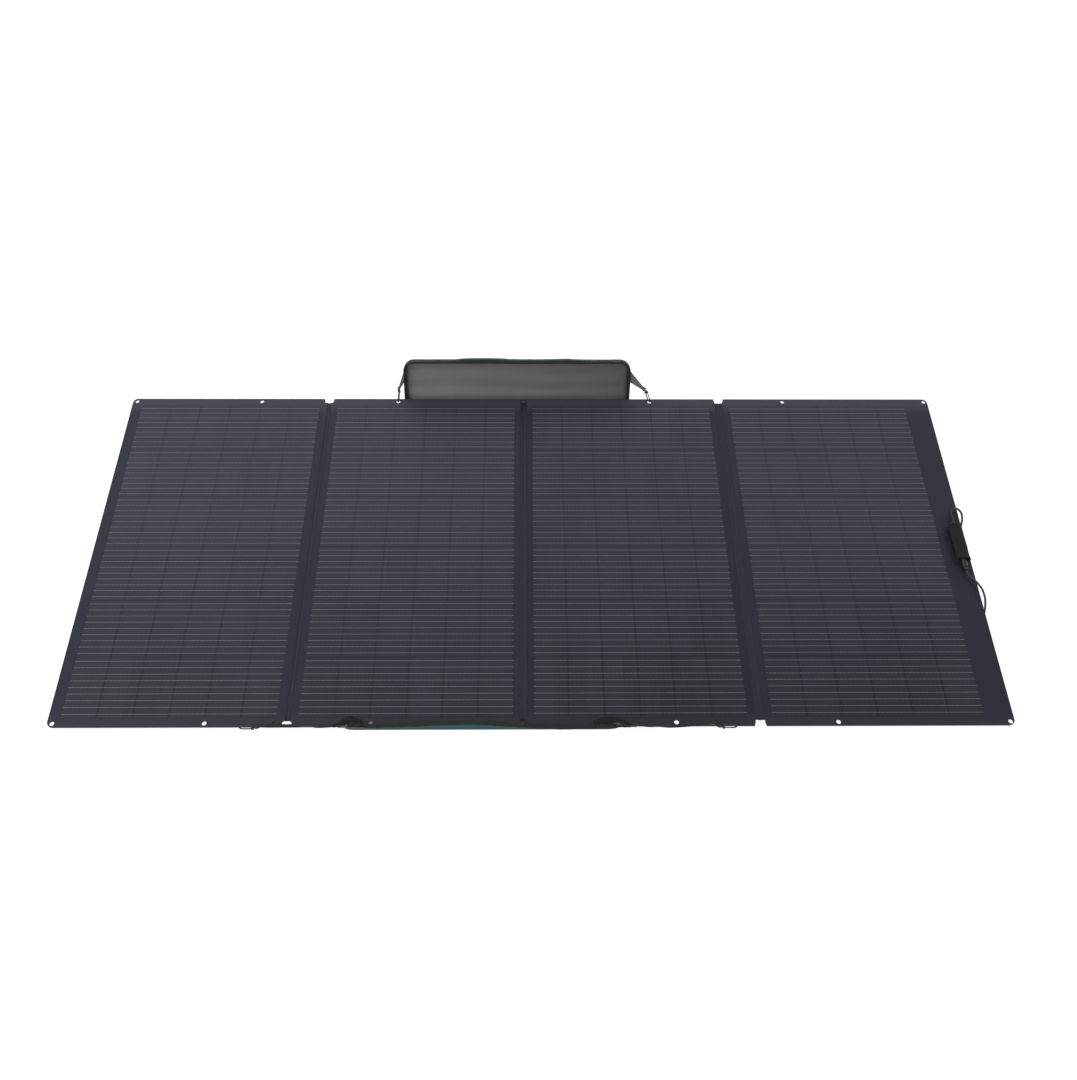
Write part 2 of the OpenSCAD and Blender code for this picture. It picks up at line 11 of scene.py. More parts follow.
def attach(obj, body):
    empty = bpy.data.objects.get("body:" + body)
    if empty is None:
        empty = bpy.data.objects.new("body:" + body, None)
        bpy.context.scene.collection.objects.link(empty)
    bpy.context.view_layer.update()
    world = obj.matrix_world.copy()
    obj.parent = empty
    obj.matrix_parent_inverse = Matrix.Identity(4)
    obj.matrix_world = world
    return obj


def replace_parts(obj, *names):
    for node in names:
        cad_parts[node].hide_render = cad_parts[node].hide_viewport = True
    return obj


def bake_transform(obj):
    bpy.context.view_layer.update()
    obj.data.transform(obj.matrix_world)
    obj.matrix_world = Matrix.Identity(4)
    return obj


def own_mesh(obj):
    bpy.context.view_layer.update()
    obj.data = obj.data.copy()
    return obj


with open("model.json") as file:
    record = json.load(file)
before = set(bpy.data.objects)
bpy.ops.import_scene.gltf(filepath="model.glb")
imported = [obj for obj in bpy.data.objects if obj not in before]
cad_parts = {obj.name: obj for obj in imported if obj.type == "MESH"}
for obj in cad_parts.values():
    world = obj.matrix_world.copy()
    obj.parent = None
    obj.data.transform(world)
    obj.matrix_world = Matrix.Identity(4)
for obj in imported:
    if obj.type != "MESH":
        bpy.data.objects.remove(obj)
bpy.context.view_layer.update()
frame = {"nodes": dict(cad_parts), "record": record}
nodes = frame["nodes"]


# ---------- design sizes, in metres ----------

TILT = math.radians(54.8)
FOOT = np.array([-1.139, -0.519, 0.0051])
PANEL_LEN = 1.058
SEAM_12, SEAM_23, SEAM_34 = 0.581, 1.158, 1.739
FACE = 0.0021
NOTCH = 0.015
EYELET_INSET = 0.010
SEAM_HOLE_R = 0.0052
CELL_STARTS = (0.031, 0.608, 1.185, 1.770)
CELL_PITCH, ROW_PITCH = 0.088, 0.168
CELL_FIELD_W = 0.523
CELL_FOOT, CELL_TOP = 0.024, 1.030

CASE_W = 0.668
LEAF_LEN = 1.062
SKEW = 0.084
FOLD_Y = 0.531
FOLD_GAP = 0.004
LEAF_T = 0.0035
WALL_FOOT = 0.0006
WALL_H = 0.0235
RIM_H = 0.0265
PRESSED_H = 0.0030
CORNER_R = 0.029
SPINE_W = 0.0495
FOOT_INSET = 0.012
SPINE_LEAN = math.radians((180 - 62.14) / 2)
EAR_T = 0.0013
EAR_Z = 0.0190
EAR_Y = -FOLD_Y + 0.0060
STRAP_Y = -FOLD_Y + 0.0035
FLOOR_HALF, FLOOR_Z = 40, -0.0002

LEAD_D = 0.0056
LEAD_POSITIVE = [
    (2244, 540, -9.1), (2262, 540, -8), (2285, 541, -6), (2310, 546, -5.5), (2334, 557, -5.5),
    (2352, 573, -6), (2364, 591, -6), (2371, 608, -3), (2374, 622, 2), (2373, 634, 7),
    (2367, 644, 10), (2357, 648, 11.2), (2347, 643, 11.3), (2342.5, 631, 11.3),
    (2342, 618, 11.3), (2342, 596, 11.3)]
LEAD_NEGATIVE = [
    (2244, 500, -9.1), (2258, 498, -8), (2274, 487, -6), (2282, 465, -5.5), (2284, 430, -5.5),
    (2286, 390, -5.5), (2290, 350, -5.5), (2298, 318, -5.5), (2316, 296, -5.5),
    (2338, 291, -5.5), (2355, 301, -6), (2366, 320, -6), (2373, 343, -2), (2375, 365, 4),
    (2371, 386, 9), (2362, 404, 11.3), (2351, 419, 11.3), (2343, 433, 11.3), (2342, 446, 11.3)]


# ---------- places ----------

def stacked(x, y, z):
    x, y, z = np.broadcast_arrays(np.asarray(x, float), y, z)
    return np.stack([x, y, z], -1)


def turned(points, angle):
    """Points turned about the X axis."""
    c, s = math.cos(angle), math.sin(angle)
    x, y, z = points[..., 0], points[..., 1], points[..., 2]
    return stacked(x, y * c - z * s, y * s + z * c)


def on_array(x, y, z):
    """From the array's own frame: x along it, y up its slope, z out of its face."""
    return turned(stacked(x, y, z), TILT) + FOOT


def on_ground(x, v, z):
    """From the ground leaf's frame: v runs from the fold to the front."""
    return stacked(np.asarray(x) - SKEW * np.asarray(v) / LEAF_LEN, FOLD_Y - np.asarray(v), z)


def on_spine(x, v, z):
    points = turned(stacked(x, v, np.asarray(z) - LEAF_T / 2), SPINE_LEAN)
    return points + np.array([0, FOLD_Y, LEAF_T / 2])


def on_raised(x, v, z):
    """From the raised leaf's frame: v runs from the fold to the free edge, z to the inside."""
    points = turned(stacked(x, v, np.asarray(z) - LEAF_T / 2), SPINE_LEAN)
    points = turned(points + np.array([0, SPINE_W, 0]), SPINE_LEAN)
    return points + np.array([0, FOLD_Y, LEAF_T / 2])


# ---------- camera ----------

camera_data = bpy.data.cameras.new("camera")
camera_data.sensor_width = 36
camera_data.lens = 36.199
camera = bpy.data.objects.new("camera", camera_data)
bpy.context.collection.objects.link(camera)
camera.location = (0.0244077, -3.15948, 0.502421)
camera.rotation_euler = (
    math.radians(90 - 0.9218), math.radians(0.0211), math.radians(-0.68766))
bpy.context.scene.camera = camera


# ---------- mesh helpers ----------

def smooth_path(route, per_span=6):
    """A curve through route points, as an array of points."""
    p = np.array(route, float)
    p = np.vstack([2 * p[0] - p[1], p, 2 * p[-1] - p[-2]])
    out = []
    for a, b, c, d in zip(p, p[1:], p[2:], p[3:]):
        for t in np.arange(per_span) / per_span:
            out.append(0.5 * (2 * b + (c - a) * t + (2 * a - 5 * b + 4 * c - d) * t * t
                              + (3 * b - a - 3 * c + d) * t ** 3))
    return np.array(out + [p[-2]])


def lumpy(points, scale, seed=0.0):
    """Smooth noise, from -1 to 1, at each point."""
    flat = np.asarray(points, float).reshape(-1, 3)
    values = [noise.noise(Vector(q) * scale + Vector((seed, seed * 1.7, seed * 0.3))) for q in flat]
    return np.array(values).reshape(np.asarray(points).shape[:-1])


def unit(vectors):
    return vectors / np.linalg.norm(vectors, axis=-1)[..., None]


def tangents(line):
    return unit(np.gradient(line, axis=0))


def side_normals(line):
    """Normals of a line that lies in a plane of constant Y."""
    t = tangents(line)
    return np.stack([-t[:, 2], 0 * t[:, 0], t[:, 0]], -1)


def distances(line):
    """How far along a line each of its points is."""
    return np.r_[0, np.cumsum(np.linalg.norm(np.diff(line, axis=0), axis=1))]


def grid(a, b):
    """Every pair of a value of a and a value of b."""
    return np.stack(np.meshgrid(a, b, indexing="ij"), -1)


def circle(count):
    return np.arange(count) * 2 * math.pi / count


def make_mesh(name, verts, faces, material, uvs=None):
    """A smooth mesh object, with a UV in metres for each of its points."""
    mesh = bpy.data.meshes.new(name)
    mesh.from_pydata(np.asarray(verts).reshape(-1, 3).tolist(), [], faces)
    mesh.validate()
    if uvs is not None:
        layer = mesh.uv_layers.new(name="metres")
        index = np.zeros(len(mesh.loops), int)
        mesh.loops.foreach_get("vertex_index", index)
        layer.data.foreach_set("uv", uvs.reshape(-1, 2)[index].ravel())
    mesh.polygons.foreach_set("use_smooth", [True] * len(mesh.polygons))
    obj = bpy.data.objects.new(name, mesh)
    bpy.context.collection.objects.link(obj)
    mesh.materials.append(material)
    return obj


def grid_faces(rows, cols, first=0, flip=False, wrap=False):
    faces = []
    for i in range(rows - 1):
        for j in range(cols if wrap else cols - 1):
            a, b = first + i * cols + j, first + i * cols + (j + 1) % cols
            face = (a, b, b + cols, a + cols)
            faces.append(face[::-1] if flip else face)
    return faces


def sheet(name, top, bottom, material, uv):
    """A closed piece of cloth between two grids of points."""
    rows, cols = top.shape[:2]
    count = rows * cols
    faces = grid_faces(rows, cols) + grid_faces(rows, cols, count, flip=True)
    edge = [i * cols for i in range(rows)]
    edge += [(rows - 1) * cols + j for j in range(1, cols)]
    edge += [i * cols + cols - 1 for i in range(rows - 2, -1, -1)]
    edge += [j for j in range(cols - 2, 0, -1)]
    for a, b in zip(edge, edge[1:] + edge[:1]):
        faces.append((a, b, b + count, a + count))
    return make_mesh(name, np.array([top, bottom]), faces, material, np.array([uv, uv]))


def strip(name, base, normal, thick, material, uv, place=stacked):
    """A sheet that lies half its thickness to each side of a grid of points."""
    top, bottom = base + thick / 2 * normal, base - thick / 2 * normal
    return sheet(name, place(*np.moveaxis(top, -1, 0)), place(*np.moveaxis(bottom, -1, 0)), material, uv)


def loft(name, rings, material):
    """A closed skin over rings of points, each a loop of the same length."""
    rings = np.asarray(rings)
    count, around = rings.shape[:2]
    across = np.r_[0, np.cumsum(np.linalg.norm(np.roll(rings[0], -1, 0) - rings[0], axis=1))[:-1]]
    faces = grid_faces(count, around, flip=True, wrap=True)
    faces.append(tuple(range(around)))
    faces.append(tuple(reversed(range((count - 1) * around, count * around))))
    return make_mesh(name, rings, faces, material, grid(distances(rings.mean(1)), across))


def tube(name, path, radii, material, around=10, wobble=1):
    """An oval skin along a path; radii is (sideways, upwards), and wobble is a factor on both."""
    path = np.asarray(path, float)
    tangent = tangents(path)
    up = np.array([0, 0, 1.0])
    if abs(tangent[0] @ up) > 0.9:
        up = np.array([1.0, 0, 0])
    angle = circle(around)
    rings = []
    for p, t, grow in zip(path, tangent, wobble * np.ones(len(path))):
        side = unit(np.cross(t, up))
        up = np.cross(side, t)
        oval = np.outer(radii[0] * np.cos(angle), side) + np.outer(radii[1] * np.sin(angle), up)
        rings.append(p + grow * oval)
    return loft(name, rings, material)


def finish_piece(obj, body, slot, *replaced):
    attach(obj, body)
    if replaced:
        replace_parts(obj, *replaced)


# ---------- material helpers ----------

def shaded(color, factor, lift=0.0):
    return tuple(c * factor + lift for c in color)


class Tree:
    """A node tree under construction. Sockets are passed between its methods."""

    def __init__(self, tree):
        self.tree = tree

    def put(self, socket, value):
        """Links an output to a socket, or sets its value."""
        if isinstance(value, bpy.types.NodeSocket):
            self.tree.links.new(value, socket)
        elif value is not None:
            socket.default_value = (*value, 1.0) if socket.type == "RGBA" else value

    def node(self, kind, inputs, output=0, **settings):
        """The output socket of a new node."""
        n = self.tree.nodes.new("ShaderNode" + kind)
        for key, value in settings.items():
            setattr(n, key, value)
        for key, value in inputs.items():
            self.put(n.inputs[key], value)
        return n.outputs[output]

    def mapped(self, vector, scale=(1, 1, 1), turn=(0, 0, 0), move=(0, 0, 0)):
        return self.node("Mapping", {"Vector": vector, "Scale": scale, "Rotation": turn, "Location": move})

    def noise(self, vector, scale, detail=2.0, roughness=0.5):
        inputs = {"Vector": vector, "Scale": scale, "Detail": detail, "Roughness": roughness}
        return self.node("TexNoise", inputs, "Fac")

    def voronoi(self, vector, scale):
        return self.node("TexVoronoi", {"Vector": vector, "Scale": scale}, "Distance", feature="SMOOTH_F1")

    def wave(self, vector, period, direction):
        """Ridges one period apart along an axis."""
        inputs = {"Vector": vector, "Scale": math.pi / 10 / period, "Distortion": 0}
        return self.node("TexWave", inputs, "Fac", bands_direction=direction)

    def weave(self, vector, pitch):
        """Height of a plain weave: warp and weft threads that pass over each other."""
        over = self.node("TexChecker", {"Vector": vector, "Scale": 1 / pitch}, "Fac")
        warp, weft = self.wave(vector, pitch, "X"), self.wave(vector, pitch, "Y")
        return self.node("Mix", {0: over, 2: warp, 3: weft})

    def math(self, operation, a, b=None):
        return self.node("Math", {0: a, 1: b}, operation=operation)

    def split(self, vector):
        return self.node("SeparateXYZ", {0: vector}).node.outputs

    def levels(self, value, low, high, to_low=0.0, to_high=1.0, **settings):
        inputs = {"Value": value, "From Min": low, "From Max": high, "To Min": to_low, "To Max": to_high}
        return self.node("MapRange", inputs, **settings)

    def band(self, value, low, high, soft):
        """1 between two limits, soft on each side of both."""
        return self.math("MULTIPLY", self.levels(value, low - soft, low + soft),
                         self.levels(value, high + soft, high - soft))

    def line(self, value, at, width):
        """1 on a line of that width about a value, soft at its edges."""
        distance = self.math("ABSOLUTE", self.math("SUBTRACT", value, at))
        return self.levels(distance, width / 2, width / 2 * 0.6)

    def repeated_line(self, value, pitch, width, start=0.0):
        """1 on lines that come once in every pitch."""
        shifted = self.math("SUBTRACT", value, start - pitch / 2)
        return self.line(self.math("FLOORED_MODULO", shifted, pitch), pitch / 2, width)

    def mix(self, amount, a, b):
        return self.node("Mix", {0: amount, 6: a, 7: b}, 2, data_type="RGBA")

    def over(self, base, height, low, high, amount, color):
        """A base with some colour over it where a height passes from low to high."""
        return self.mix(self.levels(height, low, high, 0, amount), base, color)

    def bump(self, height, strength, distance, under=None):
        inputs = {"Height": height, "Strength": strength, "Distance": distance, "Normal": under}
        return self.node("Bump", inputs)


class Shader(Tree):
    """A material under construction, with some of its shader's values fixed."""

    def __init__(self, name, **fixed):
        self.material = bpy.data.materials.new(name)
        self.material.use_nodes = True
        super().__init__(self.material.node_tree)
        self.inputs = self.tree.nodes["Principled BSDF"].inputs
        for key, value in fixed.items():
            self.put(self.inputs[key.replace("_", " ")], value)
        coords = self.tree.nodes.new("ShaderNodeTexCoord")
        self.cloth = coords.outputs["UV"]
        self.place = coords.outputs["Object"]

    def done(self, color, roughness, normal=None, metallic=None):
        for key, value in (("Base Color", color), ("Roughness", roughness), ("Normal", normal),
                           ("Metallic", metallic)):
            self.put(self.inputs[key], value)
        return self.material


def woven(name, color, creases, crease_size, pitch=0.0009, depth=0.00025, wear=0.25, sheen=0.15,
          specular=0.3):
    """A woven cloth: threads, faded patches, dust in the folds, and soft creases."""
    s = Shader(name, Sheen_Weight=sheen, Sheen_Roughness=0.5, Specular_IOR_Level=specular)
    height = s.weave(s.cloth, pitch)
    threads = s.noise(s.cloth, 1 / pitch, 2)
    patches = s.noise(s.cloth, 9, 4, 0.6)
    dust = s.noise(s.cloth, 60, 3)
    dark, pale = shaded(color, 0.62), shaded(color, 1.35, 0.012)
    base = s.mix(s.levels(height, 0, 1, 0.25, 0.85), dark, color)
    base = s.over(base, threads, 0.3, 0.7, 0.35, pale)
    base = s.over(base, patches, 0.45, 0.75, wear, pale)
    base = s.over(base, dust, 0.55, 0.8, wear * 0.6, dark)
    folds = s.noise(s.mapped(s.cloth, scale=(1, 2.2, 1)), 1 / crease_size, 3, 0.55)
    normal = s.bump(folds, 0.6, creases, s.bump(height, 0.5, depth))
    return s.done(base, s.levels(patches, 0.2, 0.8, 0.77, 0.93), normal)


def moulded(name, color, roughness, grain=0.0006, depth=0.00006):
    """Moulded plastic: fine spark texture, scuffs and a slight mottle."""
    s = Shader(name, Specular_IOR_Level=0.5)
    mottle = s.noise(s.place, 40, 4, 0.6)
    scuffs = s.noise(s.mapped(s.place, scale=(1, 9, 3)), 120, 3, 0.7)
    pale = shaded(color, 1.5, 0.015)
    base = s.mix(s.levels(mottle, 0.35, 0.75, 0, 0.35), color, pale)
    base = s.over(base, scuffs, 0.62, 0.75, 0.4, pale)
    rough = s.levels(scuffs, 0.3, 0.75, roughness - 0.1, roughness + 0.15)
    return s.done(base, rough, s.bump(s.noise(s.place, 1 / grain, 3, 0.6), 0.5, depth))


def metal(name, color, roughness, rubbed_color, metallic=1.0, brushed=(1, 1, 1)):
    """Bare or coated metal: fine brushing and rubbed patches."""
    s = Shader(name, Specular_IOR_Level=0.5)
    streaks = s.noise(s.mapped(s.place, scale=brushed), 900, 3, 0.6)
    base = s.mix(s.levels(s.noise(s.place, 220, 3, 0.6), 0.5, 0.72), color, rubbed_color)
    rough = s.levels(streaks, 0.3, 0.7, roughness - 0.08, roughness + 0.1)
    return s.done(base, rough, s.bump(streaks, 0.35, 0.00004), metallic)


# ---------- materials ----------

def array_vector(s):
    """Coordinates in the array's own frame, in metres, for its flat parts."""
    c, si = math.cos(TILT), math.sin(TILT)
    y, z = -FOOT[1], -FOOT[2]
    move = (-FOOT[0], y * c + z * si, -y * si + z * c)
    return s.mapped(s.place, turn=(-TILT, 0, 0), move=move)


def film_base(s, vector, low, high, foot):
    """Colour of the textured film: darker on the third panel, with painted shade towards the foot (by the
    amount foot) and painted light to the top left.
    """
    x, y, _ = s.split(vector)
    patches = s.noise(s.mapped(vector, scale=(1, 0.6, 0)), 3.0, 3, 0.5)
    base = s.mix(s.levels(patches, 0.3, 0.7), low, high)
    third = s.band(x, SEAM_23, SEAM_34, 0.002)
    base = s.mix(s.math("MULTIPLY", third, 0.5), base, shaded(low, 0.62))
    # painted light: paler towards the top and the left, as the light falls
    lift = s.math("MULTIPLY", s.levels(y, 0.1, 1.0), s.levels(x, 2.0, 0.1, 0.35, 1.0))
    base = s.mix(s.math("MULTIPLY", lift, 0.5), base, shaded(high, 1.6))
    # painted shade: darker towards the foot, by the amount foot
    return s.mix(s.levels(y, 0.65, 0.0, 0.0, foot), base, shaded(low, 0.3))


def film_normal(s, vector):
    """The film's fine embossing over the laminate's slight waviness."""
    emboss = s.voronoi(vector, 1100)
    waves = s.noise(s.mapped(vector, scale=(1, 0.5, 0)), 2.6, 2, 0.5)
    ripples = s.noise(s.mapped(vector, scale=(1, 1.4, 0)), 24, 3, 0.5)
    normal = s.bump(waves, 0.5, 0.004)
    normal = s.bump(ripples, 0.35, 0.0006, normal)
    return s.bump(emboss, 0.4, 0.00022, normal)


def laminate_material():
    s = Shader("laminate_film", Specular_IOR_Level=0.32)
    vector = array_vector(s)
    # painted light to the top left from film_base, with no painted shade at the foot
    base = film_base(s, vector, (0.009, 0.0102, 0.0215), (0.0122, 0.0135, 0.0275), 0.0)
    x, y, _ = s.split(vector)
    # painted light: a paler band along the top edge, against the shade that the raised leaf casts there
    base = s.mix(s.levels(y, 1.0, 1.04, 0.0, 0.75), base, (0.050, 0.052, 0.072))
    # painted light: a paler band along the foot edge
    base = s.mix(s.levels(y, 0.04, 0.015, 0.0, 0.5), base, (0.026, 0.028, 0.044))
    # the film between the cells, with painted shade towards the foot and painted light to the top left
    between = film_base(s, vector, (0.0158, 0.0168, 0.0305), (0.0208, 0.0218, 0.0385), 0.82)
    inside = s.band(x, CELL_STARTS[0], CELL_STARTS[0] + CELL_FIELD_W, 0.0002)
    for start in CELL_STARTS[1:]:
        inside = s.math("ADD", inside, s.band(x, start, start + CELL_FIELD_W, 0.0002))
    base = s.mix(s.math("MULTIPLY", inside, s.band(y, CELL_FOOT, CELL_TOP, 0.0002)), base, between)
    fibre = s.noise(vector, 700, 2, 0.7)
    base = s.over(base, fibre, 0.35, 0.7, 0.3, (0.02, 0.021, 0.029))
    dust = s.noise(vector, 55, 4, 0.65)
    base = s.over(base, dust, 0.6, 0.8, 0.25, (0.045, 0.045, 0.05))
    return s.done(base, s.levels(dust, 0.3, 0.8, 0.42, 0.56), film_normal(s, vector))


def cell_material():
    s = Shader("cell_silicon", Specular_IOR_Level=0.38)
    vector = array_vector(s)
    x, y, _ = s.split(vector)
    # painted shade towards the foot and painted light to the top left, from film_base
    base = film_base(s, vector, (0.0145, 0.0155, 0.0300), (0.0197, 0.0207, 0.0380), 0.82)
    tiles = s.mapped(vector, scale=(1 / CELL_PITCH, 1 / ROW_PITCH, 0), move=(0, -0.15, 0))
    tile = s.node("VectorMath", {0: tiles}, operation="FLOOR")
    shade = s.node("TexWhiteNoise", {"Vector": tile}, "Value", noise_dimensions="2D")
    base = s.over(base, shade, 0, 1, 0.16, (0.045, 0.047, 0.062))
    half = s.repeated_line(x, CELL_PITCH / 2, 0.0011, CELL_STARTS[0])
    base = s.mix(s.math("MULTIPLY", half, 0.25), base, (0.010, 0.011, 0.017))
    fine = s.repeated_line(y, 0.0021, 0.0004)
    base = s.mix(s.math("MULTIPLY", fine, 0.22), base, (0.06, 0.06, 0.07))
    grain = s.noise(vector, 900, 2, 0.6)
    base = s.over(base, grain, 0.3, 0.7, 0.25, (0.032, 0.034, 0.046))
    rough = s.levels(s.noise(vector, 5, 3), 0.2, 0.8, 0.4, 0.5)
    return s.done(base, rough, film_normal(s, vector))


def ribbon_material():
    s = Shader("ribbon_tinned", Specular_IOR_Level=0.4)
    vector = array_vector(s)
    x = s.split(vector)[0]
    pads = s.repeated_line(x, CELL_PITCH / 8, 0.007, CELL_STARTS[0])
    streaks = s.noise(s.mapped(vector, scale=(0.2, 3, 1)), 500, 2)
    base = s.mix(pads, (0.135, 0.136, 0.158), (0.185, 0.185, 0.212))
    base = s.over(base, streaks, 0.4, 0.8, 0.4, (0.26, 0.26, 0.28))
    return s.done(base, s.levels(streaks, 0.3, 0.7, 0.35, 0.5), film_normal(s, vector), 0.3)


def back_material():
    """Woven backing cloth that lies flat on the array, with a stitched hem at the foot and the top."""
    s = Shader("back_cloth_plain", Sheen_Weight=0.12, Sheen_Roughness=0.5, Specular_IOR_Level=0.3)
    vector = array_vector(s)
    height = s.weave(vector, 0.0009)
    patches = s.noise(vector, 6, 4, 0.6)
    dust = s.noise(vector, 90, 3)
    color, pale = (0.016, 0.016, 0.018), (0.0388, 0.0388, 0.0424)
    base = s.mix(s.levels(height, 0, 1, 0.1, 0.8), (0.008, 0.008, 0.009), color)
    base = s.over(base, patches, 0.45, 0.75, 0.4, pale)
    base = s.over(base, dust, 0.6, 0.8, 0.3, pale)
    x, y, _ = s.split(vector)
    hem = s.repeated_line(x, 0.0036, 0.0022)
    edge = s.line(y, 0.006, 0.0009)
    far = s.line(y, PANEL_LEN - 0.006, 0.0009)
    stitches = s.math("MULTIPLY", hem, s.math("MAXIMUM", edge, far))
    base = s.mix(stitches, base, (0.05, 0.05, 0.052))
    normal = s.bump(height, 0.5, 0.00016)
    normal = s.bump(stitches, 0.6, 0.0005, normal)
    return s.done(base, s.levels(patches, 0.2, 0.8, 0.78, 0.92), normal)


def seam_material():
    """Coated cloth with two rows of stitches and a crease down its middle, with painted shade along the
    crease.
    """
    s = Shader("seam_coated_cloth", Specular_IOR_Level=0.3, Sheen_Weight=0.03)
    u, v, _ = s.split(s.cloth)
    height = s.weave(s.cloth, 0.0006)
    fade = s.noise(s.cloth, 14, 4, 0.6)
    base = s.mix(s.levels(height, 0, 1), (0.010, 0.0112, 0.021), (0.016, 0.0175, 0.031))
    base = s.over(base, fade, 0.45, 0.8, 0.4, (0.026, 0.027, 0.037))
    dash = s.repeated_line(v, 0.0042, 0.0028)
    rows = s.math("MAXIMUM", s.line(u, 0.0022, 0.0009), s.line(u, -0.0022, 0.0009))
    stitches = s.math("MULTIPLY", rows, dash)
    base = s.mix(s.math("MULTIPLY", stitches, 0.35), base, (0.05, 0.052, 0.062))
    # painted shade: a dark line down the crease
    crease = s.line(u, 0, 0.0012)
    base = s.mix(s.math("MULTIPLY", crease, 0.35), base, (0.006, 0.0065, 0.009))
    normal = s.bump(height, 0.4, 0.00012)
    normal = s.bump(stitches, 0.6, 0.0004, normal)
    return s.done(base, s.levels(fade, 0.2, 0.8, 0.5, 0.65), normal)


def lining_material():
    """Satin coated lining with shallow creases, and painted shade towards its right side."""
    s = Shader("lining_satin", Sheen_Weight=0.2, Sheen_Roughness=0.4, Specular_IOR_Level=0.45)
    height = s.weave(s.cloth, 0.00045)
    cloudy = s.noise(s.mapped(s.cloth, scale=(1, 2, 1)), 5, 4, 0.55)
    fine = s.noise(s.mapped(s.cloth, scale=(0.6, 3, 1)), 26, 4, 0.55)
    base = s.mix(s.levels(height, 0, 1), (0.088, 0.085, 0.087), (0.116, 0.112, 0.115))
    base = s.over(base, cloudy, 0.3, 0.75, 0.6, (0.140, 0.136, 0.140))
    base = s.over(base, fine, 0.58, 0.8, 0.35, (0.075, 0.073, 0.075))
    # painted shade: darker towards the lining's right side, as the light falls
    painted_right_shade = s.levels(s.split(s.cloth)[0], -0.2, 0.32, 0, 0.72)
    base = s.mix(painted_right_shade, base, (0.050, 0.048, 0.050))
    normal = s.bump(height, 0.3, 0.0001)
    normal = s.bump(cloudy, 0.5, 0.004, normal)
    normal = s.bump(fine, 0.4, 0.0012, normal)
    return s.done(base, s.levels(fine, 0.2, 0.8, 0.42, 0.56), normal)


def zip_material():
    """Zip tape: herringbone cloth with the ribs of the coil along it."""
    s = Shader("zip_tape_cloth", Sheen_Weight=0.04, Specular_IOR_Level=0.3)
    ribs = s.wave(s.cloth, 0.0014, "X")
    height = s.weave(s.cloth, 0.0006)
    worn = s.noise(s.cloth, 30, 4, 0.6)
    base = s.mix(s.levels(height, 0, 1), (0.006, 0.0055, 0.0055), (0.012, 0.011, 0.011))
    base = s.over(base, worn, 0.5, 0.8, 0.5, (0.026, 0.023, 0.0225))
    normal = s.bump(height, 0.4, 0.00015)
    return s.done(base, s.levels(ribs, 0, 1, 0.5, 0.75), s.bump(ribs, 0.5, 0.0004, normal))


def webbing_material(name, color, edge_width):
    """Ribbed webbing: diagonal twill across, raised lines along, paler fluffy edges."""
    s = Shader(name, Sheen_Weight=0.25, Sheen_Roughness=0.4, Specular_IOR_Level=0.3)
    v = s.split(s.cloth)[1]
    twill = s.wave(s.mapped(s.cloth, turn=(0, 0, 0.6)), 0.0011, "X")
    ribs = s.wave(s.cloth, 0.0022, "Y")
    fuzz = s.noise(s.cloth, 1600, 2)
    worn = s.noise(s.cloth, 35, 4, 0.6)
    pale = shaded(color, 2.2, 0.02)
    base = s.mix(s.levels(twill, 0, 1), shaded(color, 0.55), color)
    base = s.over(base, fuzz, 0.4, 0.75, 0.35, pale)
    base = s.over(base, worn, 0.5, 0.8, 0.35, pale)
    edges = s.repeated_line(v, edge_width, 0.0012)
    base = s.mix(s.math("MULTIPLY", edges, 0.5), base, pale)
    normal = s.bump(twill, 0.6, 0.0003)
    normal = s.bump(ribs, 0.4, 0.0003, normal)
    return s.done(base, s.levels(worn, 0.2, 0.8, 0.75, 0.92), normal)


def loop_material():
    """Brushed hook-and-loop cloth: a tangle of fine loops."""
    s = Shader("wrap_loop_cloth", Sheen_Weight=0.08, Sheen_Roughness=0.5, Specular_IOR_Level=0.12)
    loops = s.voronoi(s.cloth, 1400)
    tufts = s.noise(s.cloth, 260, 4, 0.7)
    base = s.mix(s.levels(loops, 0.1, 0.7), (0.020, 0.0195, 0.0195), (0.007, 0.007, 0.007))
    base = s.over(base, tufts, 0.45, 0.75, 0.5, (0.032, 0.031, 0.031))
    normal = s.bump(loops, 0.7, 0.0005)
    return s.done(base, s.levels(tufts, 0.2, 0.8, 0.85, 0.98), s.bump(tufts, 0.5, 0.0008, normal))


def jacket_material():
    """Satin cable jacket with faint rings, scuffs and dust."""
    s = Shader("lead_jacket_satin", Specular_IOR_Level=0.45)
    rings = s.wave(s.mapped(s.place, turn=(0.3, 0.2, 0)), 0.0016, "Y")
    dust = s.noise(s.place, 140, 4, 0.65)
    base = s.mix(s.levels(dust, 0.45, 0.8, 0, 0.6), (0.010, 0.010, 0.011), (0.045, 0.045, 0.047))
    return s.done(base, s.levels(dust, 0.2, 0.8, 0.32, 0.55), s.bump(rings, 0.15, 0.0001))


jacket = jacket_material()
seam_cloth = seam_material()
lining = lining_material()
zip_cloth = zip_material()
wrap_cloth = loop_material()
webbing = webbing_material("handle_webbing_twill", (0.018, 0.018, 0.018), 0.02)
strap_cloth = webbing_material("strap_webbing_twill", (0.013, 0.012, 0.0115), 0.014)
teal = woven("case_teal_oxford", (0.030, 0.094, 0.094), 0.004, 0.06, wear=0.3)
teal_soft = woven("gusset_teal_oxford", (0.019, 0.064, 0.064), 0.003, 0.02, wear=0.3)
front_teal = woven("front_teal_oxford", (0.020, 0.078, 0.076), 0.003, 0.02, wear=0.2)
brown = woven("folded_zip_cloth", (0.010, 0.0086, 0.0080), 0.003, 0.012, 0.0007, 0.00015,
              wear=0.12, sheen=0.04, specular=0.2)
beige = woven("hem_binding_cloth", (0.085, 0.078, 0.072), 0.002, 0.012, 0.0006, 0.00015, wear=0.3)
grip_cloth = woven("handle_grip_cloth", (0.016, 0.016, 0.017), 0.002, 0.015, 0.0011, 0.0003)
ear_cloth = woven("ear_coated_cloth", (0.12, 0.118, 0.12), 0.002, 0.02, 0.0006, 0.00015, wear=0.2)

